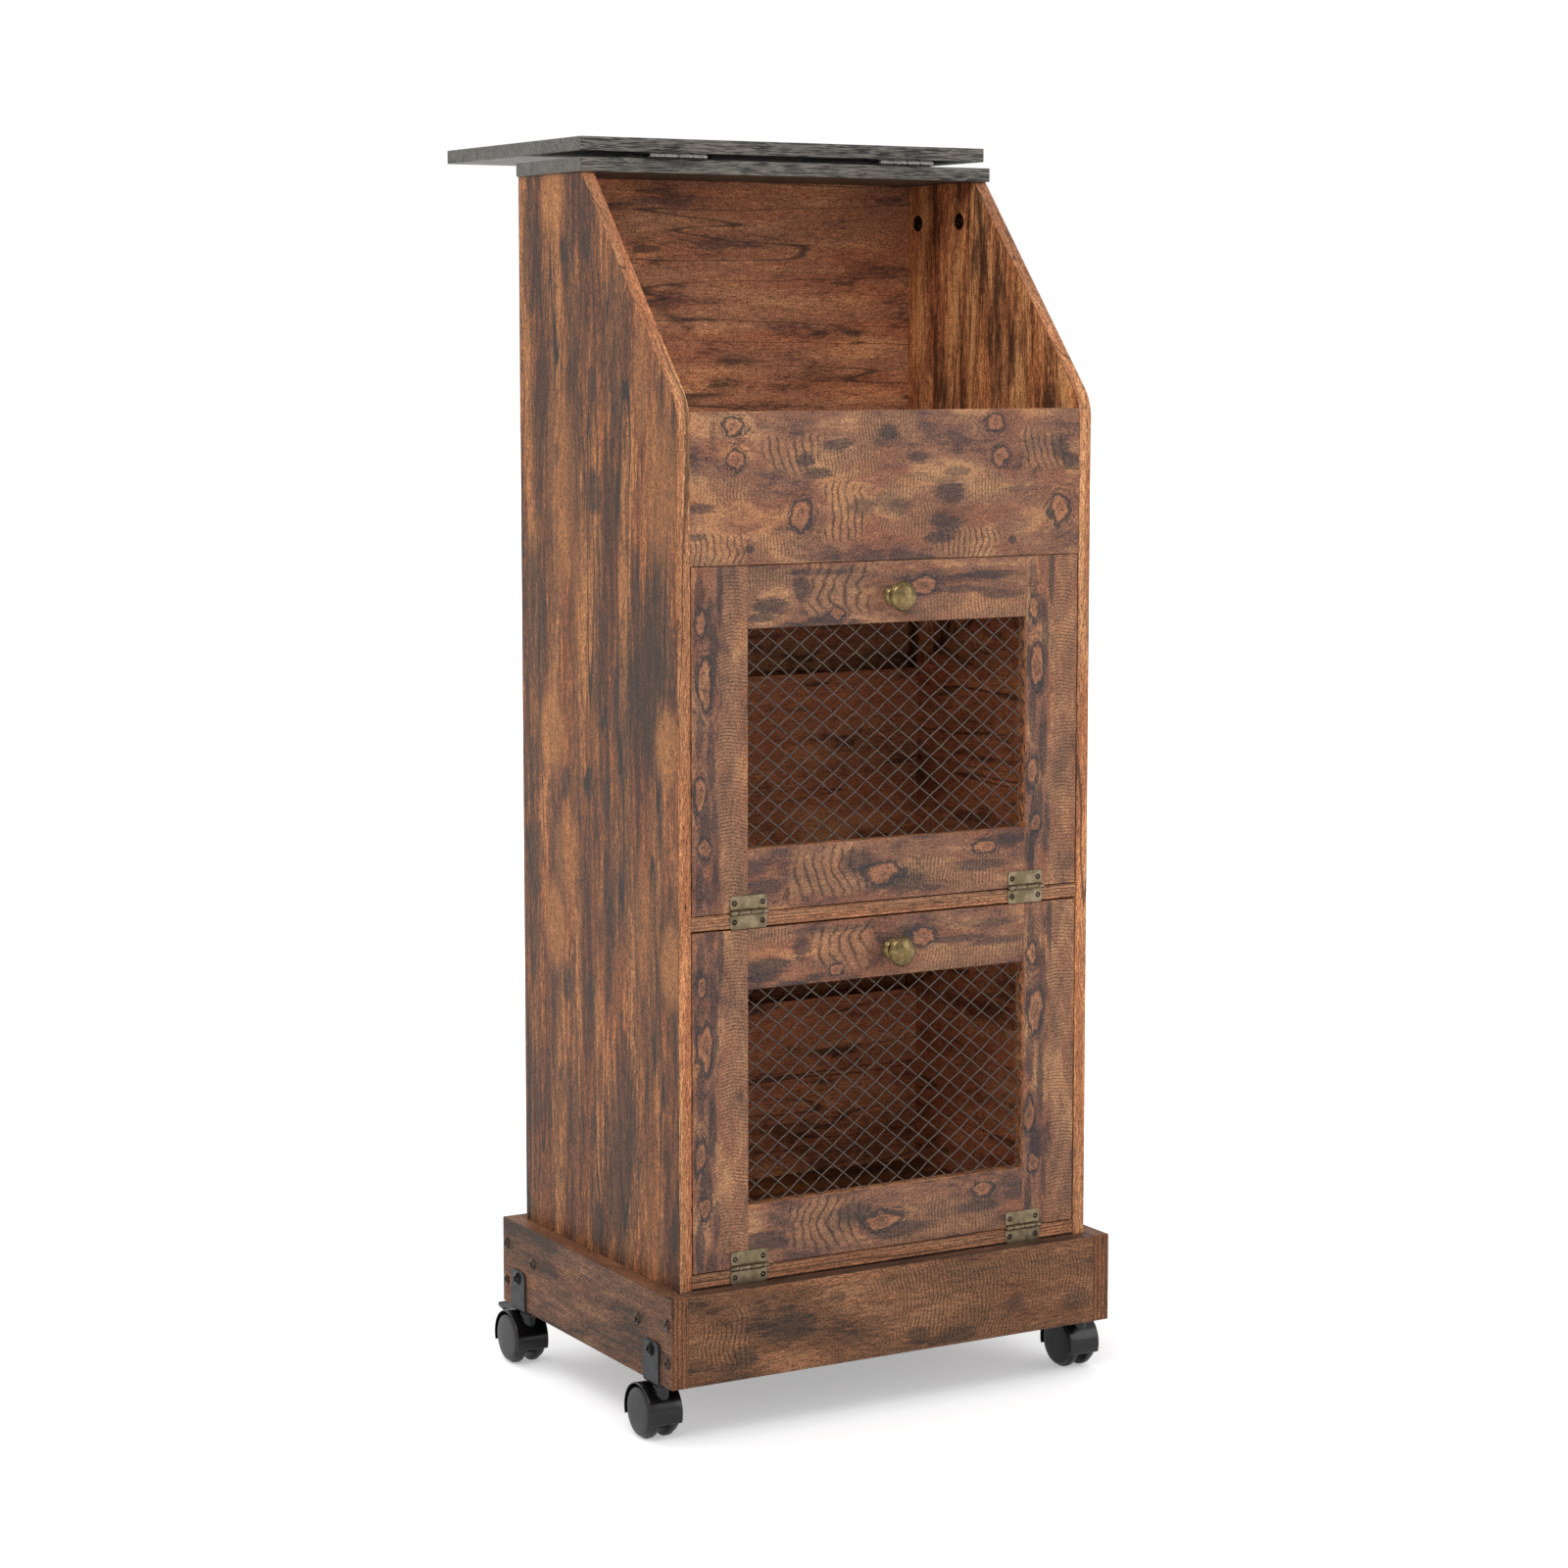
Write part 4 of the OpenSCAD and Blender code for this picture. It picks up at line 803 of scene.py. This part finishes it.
# a wheel, from its hub to its inner edge: a slightly crowned disc, a step, and the tread
wheel_profile = [(0, 15.6), (6, 15.58), (12, 15.48), (16.4, 15.25), (18.9, 14.9), (20.2, 14.4), (20.7, 13.6),
                 (20.9, 11.8), (21.4, 11.1), (22.4, 10.9), (23.0, 10.0), (23.0, 7.0), (22.7, 5.7),
                 (22.0, 5.1), (21.0, 5.0), (4, 5.0), (4, 6.0), (0, 6.0)]
boss_profile = [(0, 31.2), (5.6, 31.2), (6.7, 32.0), (7.0, 33.4), (7.0, 46.6), (6.6, 47.9), (5.8, 48.4),
                (3.6, 48.4), (3.6, 47.6), (0, 47.6)]
for name, sx, sy in (("fl", -1, -1), ("fr", 1, -1), ("bl", -1, 1), ("br", 1, 1)):
    x, y = sx * stem_x, sy * stem_y
    body = "caster_" + name
    axle_y = y + TRAIL
    braked = sy > 0
    shells = [round_about(hood_section, HOOD_BACK, HOOD_FRONT, x, axle_y, WHEEL_R, 61),
              round_about(web_section, HOOD_BACK, HOOD_FRONT, x, axle_y, WHEEL_R, 47),
              round_about(core_section, 0, 352.5, x, axle_y, WHEEL_R, 48),
              lathe(boss_profile, (x, y, 0), (0, 0, 1), 48, 1)]
    piece(body + "_hood", shells, [hood_black], body, "housing_black", body + "_housing")
    for half, out in (("outer", sx), ("inner", -sx)):
        wheel = lathe(wheel_profile, (x, axle_y, WHEEL_R), (out, 0, 0), 72, 1)
        piece(body + "_" + half, [wheel], [wheel_black], body + "_wheel_" + half, "wheel_black",
              body + "_wheel_" + half)
    if braked:
        # the tab widens to its foot and turns up a little at the end
        reach, half = np.meshgrid(np.linspace(0, 1, 17), np.linspace(-1, 1, 13), indexing="ij")
        width = 7.5 * MM * (0.45 + 0.55 * np.clip(reach * 3.2, 0, 1) ** 0.6)
        width = width - 0.8 * MM * np.clip((reach - 0.93) / 0.07, 0, 1) ** 2
        top = WHEEL_R + (20.6 + 2.6 * reach + 0.6 * np.clip(reach * 4 - 3, 0, 1)) * MM
        tread = 0.25 * MM * (np.sin(reach * 60.0) > 0.2) * (reach > 0.45) * (np.abs(half) < 0.8)
        place = np.stack([x + half * width, axle_y + (17.5 + 16.0 * reach) * MM, top + tread], -1)
        under = place.copy()
        under[..., 2] = top - 2.7 * MM + 0.4 * MM * half ** 2
        tab = capped(np.concatenate([place, under[:, ::-1]], 1))
        pin = lathe([(0, -3.9), (1.5, -3.9), (1.5, -2.3), (3.0, -2.2), (3.0, 2.2), (1.5, 2.3), (1.5, 3.9),
                     (0, 3.9)], (x, axle_y + 10 * MM, WHEEL_R + 15 * MM), (1, 0, 0), 32)
        neck = block(Vector((x - 2.2 * MM, axle_y + 8 * MM, WHEEL_R + 16 * MM)),
                     Vector((x + 2.2 * MM, axle_y + 20 * MM, WHEEL_R + 20.6 * MM)), "z", arris=0.8 * MM)
        piece(body + "_tab", [tab, pin, neck], [hood_black, hood_black], body + "_brake", "housing_black",
              body + "_brake")

# ---- Cam locks: blackened discs with a bronze cross head, in the side panels' inner faces.
low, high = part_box("cam_locks")
cam_y = (low.y + 7.45 * MM, high.y - 7.45 * MM)
cam_z = (low.z + high.z) / 2
inner_x = high.x - 8.6 * MM
discs = []
for side in (-1, 1):
    for y in cam_y:
        discs.append(lathe([(0, -8), (7.0, -8), (7.0, 0.1), (7.4, 0.45), (7.1, 0.7), (6.3, 0.35), (0, 0.3)],
                           (side * inner_x, y, cam_z), (-side, 0, 0), 48))
        verts, faces, marks, smooth = screw_head((side * inner_x, y, cam_z), (-side, 0, 0), 4.6 * MM,
                                                 0.5 * MM, 0.4, rim=0.3 * MM)
        discs.append((verts, faces, marks + 1, smooth))
piece("cam_locks_dressed", discs, [black_screw, bronze], "cabinet", "black_metal", "cam_locks")

# ---- Top board and lid: the same board in a charcoal oak print, grain from side to side.
oak_print, given, result = node_group(
    "oak_print",
    [("Vector", (0.0, 0.0, 0.0)), ("Pale", (0.2, 0.2, 0.2, 1.0)), ("Deep", (0.05, 0.05, 0.05, 1.0))],
    [("Color", "Color"), ("Height", "Float")])
sway = calc(oak_print, "SUBTRACT", cloud(oak_print, given["Vector"], (11.0, 40.0, 40.0)), 0.5)
drift = calc(oak_print, "MULTIPLY", sway, 0.006)
grain = move(oak_print, "ADD", given["Vector"], put(oak_print, "CombineXYZ", {1: drift, 2: drift}))
band = cloud(oak_print, grain, (7.0, 120.0, 120.0), 3.0, 0.6)
line = cloud(oak_print, grain, (48.0, 1250.0, 1250.0), 3.0, 0.65)
shade = calc(oak_print, "MULTIPLY_ADD", line, 0.9, calc(oak_print, "MULTIPLY", band, 0.2))
colour = mix(oak_print, ramp(oak_print, shade, 0.47, 0.61), given["Deep"], given["Pale"])
pores = ramp(oak_print, cloud(oak_print, grain, (60.0, 2200.0, 2200.0), 1.0), 0.56, 0.66)
colour = mix(oak_print, calc(oak_print, "MULTIPLY", pores, 0.55), colour, given["Deep"])
oak_print.links.new(colour, result["Color"])
oak_print.links.new(calc(oak_print, "SUBTRACT", line, pores), result["Height"])


def oak(name, pale, deep):
    material, tree, shader, where = finish(name, 0.55, Specular_IOR_Level=0.3)
    printed = tree.nodes.new("ShaderNodeGroup")
    printed.node_tree = oak_print
    tree.links.new(where, printed.inputs["Vector"])
    printed.inputs["Pale"].default_value = pale
    printed.inputs["Deep"].default_value = deep
    tree.links.new(printed.outputs["Color"], shader.inputs["Base Color"])
    relief(tree, shader, printed.outputs["Height"], 0.06 * MM)
    return material


charcoal = oak("charcoal_oak", tint(112, 107, 99), tint(28, 26, 25))
for name, body in (("top_board", "cabinet"), ("lid", "lid")):
    low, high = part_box(name)
    piece(name + "_dressed", [block(low, high, "z", arris=0.6 * MM)], [charcoal, charcoal], body,
          "grey_oak", name)

# ---- Lid hinges: pressed steel, four knuckles on a pin, the leaves screwed into the gap
# between the top board and the lid that lies folded back over it.


def knuckle(x0, x1, y, z, radius, lean_x=0.0):
    """A barrel along the pin from x0 to x1 with softened ends. Its ends lean: each point
    moves along the pin by lean_x times the sine of its angle."""
    r = np.array([0.0, 0.7, 0.93, 1.0, 1.0, 0.93, 0.7, 0.0]) * radius
    span = x1 - x0
    x = np.array([0.0, 0.0, 0.015, 0.05, 0.95, 0.985, 1.0, 1.0]) * span + x0
    a = np.linspace(0, 2 * math.pi, 32, endpoint=False)
    rr, aa = np.meshgrid(r, a, indexing="ij")
    xx = x[:, None] + lean_x * np.cos(aa) * (rr / radius)
    return turned((0, y, z), (1, 0, 0), rr, xx, aa)


lid_foot, top_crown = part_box("lid")[0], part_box("top_board")[1]
pin_y, pin_z = next(joint["pos_m"][1:] for joint in frame["joints"] if joint["name"] == "lid_hinge")
LID_W, LID_X, LEAF_T = 55 * MM, 114 * MM, 1.4 * MM
upper, lower = [], []
for side in (-1, 1):
    for k in range(4):
        start = side * LID_X + LID_W * (k / 4 - 0.5)
        own = upper if k % 2 else lower
        verts, faces, marks, smooth = knuckle(start + 0.4 * MM, start + LID_W / 4 - 0.4 * MM,
                                              pin_y, pin_z, 1.8 * MM)
        own.append((verts, faces, marks + 1, smooth))
        level = lid_foot.z - LEAF_T if k % 2 else top_crown.z
        own.append(block(Vector((start + 0.3 * MM, pin_y + 0.6 * MM, level)),
                         Vector((start + LID_W / 4 - 0.3 * MM, pin_y + 5 * MM, level + LEAF_T)), "z",
                         arris=0.2 * MM, edge=0))
    for own, level, deep in ((upper, lid_foot.z - LEAF_T, 28 * MM), (lower, top_crown.z, 24 * MM)):
        own.append(block(Vector((side * LID_X - LID_W / 2, pin_y + 4 * MM, level)),
                         Vector((side * LID_X + LID_W / 2, pin_y + deep, level + LEAF_T)), "z",
                         arris=0.25 * MM, edge=0))
# the leaves are the same steel as the barrels; their dark grey finish is painted shade, standing for the deep
# shadow in the gap between the top board and the lid
leaf_painted_shade = metal("leaf_painted_shade", tint(48, 46, 45), tint(34, 33, 32), 0.5, metallic=0.5)
barrel_steel = metal("barrel_steel", tint(140, 137, 134), tint(96, 93, 90), 0.4, blotch=500.0)
piece("lid_leaves", upper, [leaf_painted_shade, barrel_steel], "lid", "steel", "lid_hinge_leaves")
piece("top_leaves", lower, [leaf_painted_shade, barrel_steel], "cabinet", "steel", "top_hinge_leaves")
places = [side * LID_X + dx for side in (-1, 1) for dx in (-18 * MM, 18 * MM)]
piece("lid_screws", [screw_head((x, pin_y + 20 * MM, lid_foot.z - LEAF_T), (0, 0, -1), 2.4 * MM, 0.35 * MM)
                     for x in places], [steel], "lid", "steel", "lid_hinge_screws")
piece("top_screws", [screw_head((x, pin_y + 16 * MM, top_crown.z + LEAF_T), (0, 0, 1), 2.4 * MM, 0.35 * MM)
                     for x in places], [steel], "cabinet", "steel")
repaint("hinge_pins", steel)

# ---- Doors: two stiles and two rails each, in the knotted print.
STILE_W = 52.5 * MM


def door_print(door, base):
    """The stile and rail finishes of a door whose foot is at that height, in millimetres."""
    stile_ripples, stile_stains, stile_knots = [], [], []
    for left in (-189, 137):
        for up in (40, 110, 180, 250):
            stile_ripples.append((base + up, left + 38, 40, 14, 2.9, 10))
        for up, across, length, width, strength in (
                (268, 26, 30, 3, 0.85), (215, 20, 34, 4, 0.8), (262, 7, 18, 4, 0.7), (150, 7, 22, 4, 0.8),
                (126, 18, 30, 4, 0.8), (65, 12, 24, 6, 0.85), (22, 6, 22, 4, 0.85), (196, 4, 16, 3, 0.8),
                (92, 3, 14, 3, 0.85), (178, 15, 14, 4, 0.8), (240, 14, 12, 4, 0.75), (40, 22, 16, 3, 0.7)):
            stile_stains.append((base + up, left + across, length, width, strength))
        for up, across, length, width in ((240, 8, 12, 5), (190, 12, 21, 8), (98, 7, 16, 6), (54, 11, 10, 6)):
            stile_knots.append((base + up, left + across, length, width))
    stile = wood("rustic_stile_" + door, "z", "x", (0.62, 0.2, 0.1), stile_knots, stile_stains, stile_ripples,
                 **{**FRONT, "Patch_Length": 0.05, "Patch_Width": 0.02, "Tone": 0.0})
    top = base + 259
    rail = wood(
        "rustic_rail_" + door, "x", "z", (0.33, 0.71, 0.2),
        knots=[(33, top + 5, 15, 8), (-52, top - 16, 8, 6), (-6, base + 22, 20, 9), (96, base + 37, 12, 7)],
        stains=[(-86, top + 6, 8, 11, 0.9), (-116, top - 8, 18, 7, 0.9), (-124, top - 17, 16, 4, 0.85),
                (-98, top - 25, 16, 4, 0.85), (-34, top - 27, 7, 6, 0.8), (-70, top - 20, 10, 3, 0.7),
                (17, top + 6, 4, 8, 0.85), (70, top, 34, 3, 0.8), (112, top - 5, 26, 4, 0.7),
                (96, top + 12, 30, 4, 0.6), (-60, top + 19, 40, 3, 0.5),
                (12, base + 12, 30, 7, 0.85), (-34, base + 34, 16, 9, 0.8), (92, base + 22, 26, 6, 0.8),
                (-120, base + 18, 18, 8, 0.8), (124, base + 42, 16, 6, 0.7)],
        ripples=[(-48, top + 4, 30, 19, 11.5, -14), (86, top - 18, 58, 15, 3.3, 0),
                 (-118, top + 16, 20, 8, 3.2, 0), (-60, base + 26, 40, 20, 9.5, -12),
                 (60, base + 18, 50, 16, 3.3, 0)],
        **{**FRONT, "Patch_Length": 0.06, "Patch_Width": 0.022, "Tone": -0.14})
    return stile, rail


BIN_WOOD = {"Light": tint(216, 150, 106), "Middle": tint(182, 120, 86), "Dark": tint(120, 78, 58),
            "Contrast": 0.7, "Streak": 0.8}
inside_wood = wood("bin_inside", "x", "z", (0.25, 0.9, 0.4), **BIN_WOOD)
inside_side = wood("bin_inside_side", "y", "z", (0.85, 0.5, 0.7), **BIN_WOOD)
BIN_T = 6 * MM
for door in ("upper", "lower"):
    body = door + "_bin"
    low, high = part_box(door + "_stiles")
    stile_face, rail_face = door_print(door, round(low.z / MM + 1.2, 3))
    parts = [block(low, Vector((low.x + STILE_W, high.y, high.z)), "y", arris=0.3 * MM),
             block(Vector((high.x - STILE_W, low.y, low.z)), high, "y", arris=0.3 * MM)]
    piece(door + "_stiles_dressed", parts, [stile_face, band_upright], body, "rustic_wood", door + "_stiles")
    rail_low, rail_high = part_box(door + "_rails")
    sheet_low, sheet_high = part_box(door + "_mesh")
    parts = [block(rail_low, Vector((rail_high.x, rail_high.y, sheet_low.z + 3.9 * MM)), "y", arris=0.3 * MM),
             block(Vector((rail_low.x, rail_low.y, sheet_high.z - 3.9 * MM)), rail_high, "y", arris=0.3 * MM)]
    piece(door + "_rails_dressed", parts, [rail_face, band_level], body, "rustic_wood", door + "_rails")
    # the bin behind the door: thin sides that slope down to a low back, and a bottom
    side_low, side_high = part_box(door + "_bin_sides")
    back_low, back_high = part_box(door + "_bin_back")
    outline = [(side_low.y, side_low.z), (side_high.y, side_low.z), (side_high.y, back_high.z),
               (side_low.y + 30 * MM, side_high.z), (side_low.y, side_high.z)]
    parts = [board(outline, x0, x0 + BIN_T, "x", arris=0.4 * MM) for x0 in (side_low.x, side_high.x - BIN_T)]
    piece(door + "_sides_dressed", parts, [inside_side, band_upright], body, "rustic_wood",
          door + "_bin_sides")
    piece(door + "_back_dressed", [block(back_low, back_high, "y", arris=0.4 * MM)],
          [inside_wood, band_level], body, "rustic_wood", door + "_bin_back")
    low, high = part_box(door + "_bin_bottom")
    piece(door + "_bottom_dressed", [block(low, high, "z", arris=0.4 * MM)],
          [rustic_shelf, band_level], body, "rustic_wood", door + "_bin_bottom")

# ---- Wire mesh: round wires woven over and under each other on the slant, their ends running
# into the frame. At the sides each pair of wires turns back on itself in a small loop.
wire_finish = metal("wire_brown", tint(92, 78, 70), tint(62, 53, 48), 0.42, metallic=0.45, blotch=500.0)
# a darker copy of the wire's finish for the loops: painted shade, not a different metal
loop_painted_shade = metal("wire_loop_painted_shade", tint(44, 36, 32), tint(28, 23, 21), 0.45, metallic=0.3, blotch=500.0)
WIRE_R, CROSS_X, LIFT = 0.64 * MM, 13, 0.6 * MM


def tube(path, radius, sides=8):
    """A round tube along a path: at each point a circle in the plane across the path."""
    step = np.gradient(path, axis=0)
    step /= np.linalg.norm(step, axis=1, keepdims=True)
    e1 = np.cross(step, [0.0, 1.0, 0.0])
    e1 /= np.linalg.norm(e1, axis=1, keepdims=True)
    e2 = np.cross(step, e1)
    a = np.linspace(0, 2 * math.pi, sides, endpoint=False)[None, :, None]
    points = path[:, None] + radius * (np.cos(a) * e1[:, None] + np.sin(a) * e2[:, None])
    return capped(points)


for door in ("upper", "lower"):
    low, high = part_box(door + "_mesh")
    half_x = high.x - 2.9 * MM
    pitch_x = half_x / CROSS_X
    base_z = low.z + 3.1 * MM
    pitch_z = (high.z - 3.9 * MM + 1.6 * MM - base_z) / 22
    plane = (low.y + high.y) / 2
    wires = []
    for lean_way in (1, -1):
        for start in range(-21, 26, 2) if lean_way > 0 else range(1, 48, 2):
            k = np.arange(0.0, 26.01, 0.25)
            j = (k - start) if lean_way > 0 else (start - k)
            keep = (j > -0.36) & (j < 22.36)
            k, j = k[keep], j[keep]
            if len(k) < 3:
                continue
            x = np.clip(-half_x + k * pitch_x, -half_x + 2.6 * MM, half_x - 2.6 * MM)
            k = (x + half_x) / pitch_x
            j = (k - start) if lean_way > 0 else (start - k)
            y = plane - lean_way * LIFT * np.cos(math.pi * k)
            path = np.stack([x, y, base_z + j * pitch_z], 1)
            path = path[np.append(True, np.diff(x) > 1e-6)]
            wires.append(tube(path, WIRE_R))
    # the small loops in which the wires turn back at the sides; their darker finish is painted shade: the
    # same wire, seen in shadow against the frame
    turn = np.linspace(-0.5 * math.pi, 0.5 * math.pi, 9)
    for side in (-1, 1):
        for j in range(1, 22, 2):
            rise = 2.6 * MM * pitch_z / pitch_x
            x = side * (half_x - 2.6 * MM + 1.7 * MM * np.cos(turn))
            z = base_z + j * pitch_z + rise * np.sin(turn)
            y = plane + side * LIFT * 0.72 * np.sin(turn)
            verts, faces, marks, smooth = tube(np.stack([x, y, z], 1), WIRE_R * 1.15)
            wires.append((verts, faces, marks + 1, smooth))
    piece(door + "_wires", wires, [wire_finish, loop_painted_shade], door + "_bin", "wire", door + "_mesh")

# ---- Knobs: turned brass with an antique finish, a mushroom head on a stepped rose.
antique = metal("antique_brass", tint(120, 103, 70), tint(100, 84, 55), 0.27, blotch=300.0, bump=0.006 * MM)
knob_profile = [(0, 0), (8.6, 0), (8.6, 0.9), (8.2, 1.4), (7.5, 1.5), (7.3, 2.1), (6.4, 2.5), (5.4, 3.6),
                (4.9, 5.4), (4.8, 7), (4.9, 9), (5.4, 11), (6.6, 12.7), (8.6, 14.0), (10.8, 15.1),
                (12.3, 16.2), (12.8, 17.3), (12.7, 18.0), (12.1, 18.4), (12.2, 18.9), (11.6, 19.8),
                (10.0, 20.9), (7.4, 22.0), (3.9, 22.9), (0, 23.1)]
for door in ("upper", "lower"):
    low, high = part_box(door + "_knob")
    centre = ((low.x + high.x) / 2, high.y, (low.z + high.z) / 2)
    piece(door + "_knob_turned", [lathe(knob_profile, centre, (0, -1, 0), 96, 2)], [antique], door + "_bin",
          "antique_brass", door + "_knob")

# ---- Door hinges: small antique-brass butts under each door, half on the door and half on
# the shelf's front edge, with four slanting knuckle joints and countersunk screws.
hinge_brass = metal("hinge_brass", tint(128, 114, 92), tint(102, 89, 69), 0.42, blotch=160.0)
HINGE_W, HINGE_X, KNUCKLE_R, HINGE_T, LEAF_H = 35 * MM, 137 * MM, 2.1 * MM, 1.0 * MM, 14 * MM
JOINTS = np.array([0.0, 0.19, 0.52, 0.85, 1.0])


def leaf(x, z, face_y, up):
    """A flat leaf whose two outer corners are quarter circles. Its back lies on face_y, and
    it reaches upwards or downwards from the pin."""
    r, half = 2.2 * MM, HINGE_W / 2
    near, far = z + up * 2.5 * MM, z + up * LEAF_H
    turn = np.linspace(0, math.pi / 2, 7)
    corner = np.concatenate([
        [(near, x - half), (near, x + half)],
        np.stack([far - up * r + up * r * np.sin(turn), x + half - r + r * np.cos(turn)], 1),
        np.stack([far - up * r + up * r * np.cos(turn), x - half + r - r * np.sin(turn)], 1)])
    if up > 0:
        corner = corner[::-1]
    return board(corner, face_y - HINGE_T, face_y, "y", arris=0.25 * MM)


for door, shelf in (("upper", "middle_shelf"), ("lower", "bottom_shelf")):
    face_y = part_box(shelf)[0].y
    hinge_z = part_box(shelf)[1].z + 1 * MM
    hinge_y = face_y - 2.4 * MM
    moving, fixed, moving_screws, fixed_screws = [], [], [], []
    for side in (-1, 1):
        x = side * HINGE_X
        edges = x + HINGE_W * (JOINTS - 0.5)
        for own, heads, up, parity in ((moving, moving_screws, 1, 1), (fixed, fixed_screws, -1, 0)):
            own.append(leaf(x, hinge_z, face_y, up))
            for k in range(parity, 4, 2):
                own.append(knuckle(edges[k] + 0.28 * MM, edges[k + 1] - 0.28 * MM, hinge_y, hinge_z,
                                   KNUCKLE_R, 0.55 * MM))
                z0, z1 = sorted((hinge_z, hinge_z + up * 3.2 * MM))
                own.append(block(Vector((edges[k] + 0.5 * MM, face_y - HINGE_T, z0)),
                                 Vector((edges[k + 1] - 0.5 * MM, face_y - 0.2 * MM, z1)), "y",
                                 arris=0.15 * MM))
            for dx in (-13.4 * MM, 13.4 * MM):
                hole = x + dx, face_y - HINGE_T, hinge_z + up * 7.9 * MM
                heads.append(screw_head(hole, (0, -1, 0), 2.2 * MM, 0.75 * MM, 0.5 + 9 * x + dx * 300))
                own.append(lathe([(2.2, -0.2), (2.25, 0.12), (2.5, 0.22), (2.9, 0.12), (3.0, -0.2)],
                                 hole, (0, -1, 0), 32, 1))
    piece(door + "_hinge_moving", moving, [hinge_brass, hinge_brass], door + "_bin", "antique_brass",
          door + "_hinge_leaves")
    piece(door + "_hinge_fixed", fixed, [hinge_brass, hinge_brass], "cabinet", "antique_brass",
          *(["shelf_hinge_leaves"] if door == "upper" else []))
    piece(door + "_hinge_screws", moving_screws, [black_screw], door + "_bin", "steel", door + "_fixings")
    piece(shelf + "_hinge_screws", fixed_screws, [black_screw], "cabinet", "steel",
          *(["body_hinge_screws"] if door == "upper" else []))

# ---- Magnetic catches and their strike plates: white-metal strips on brown moulded blocks.
catch_finish = metal("catch_brown", tint(72, 58, 50), tint(60, 48, 41), 0.5, metallic=0.0, blotch=80.0)
repaint("magnetic_catches", catch_finish)
for node in ("upper_strike_plate", "lower_strike_plate"):
    repaint(node, steel)

# ---- The end.
bpy.context.view_layer.update()
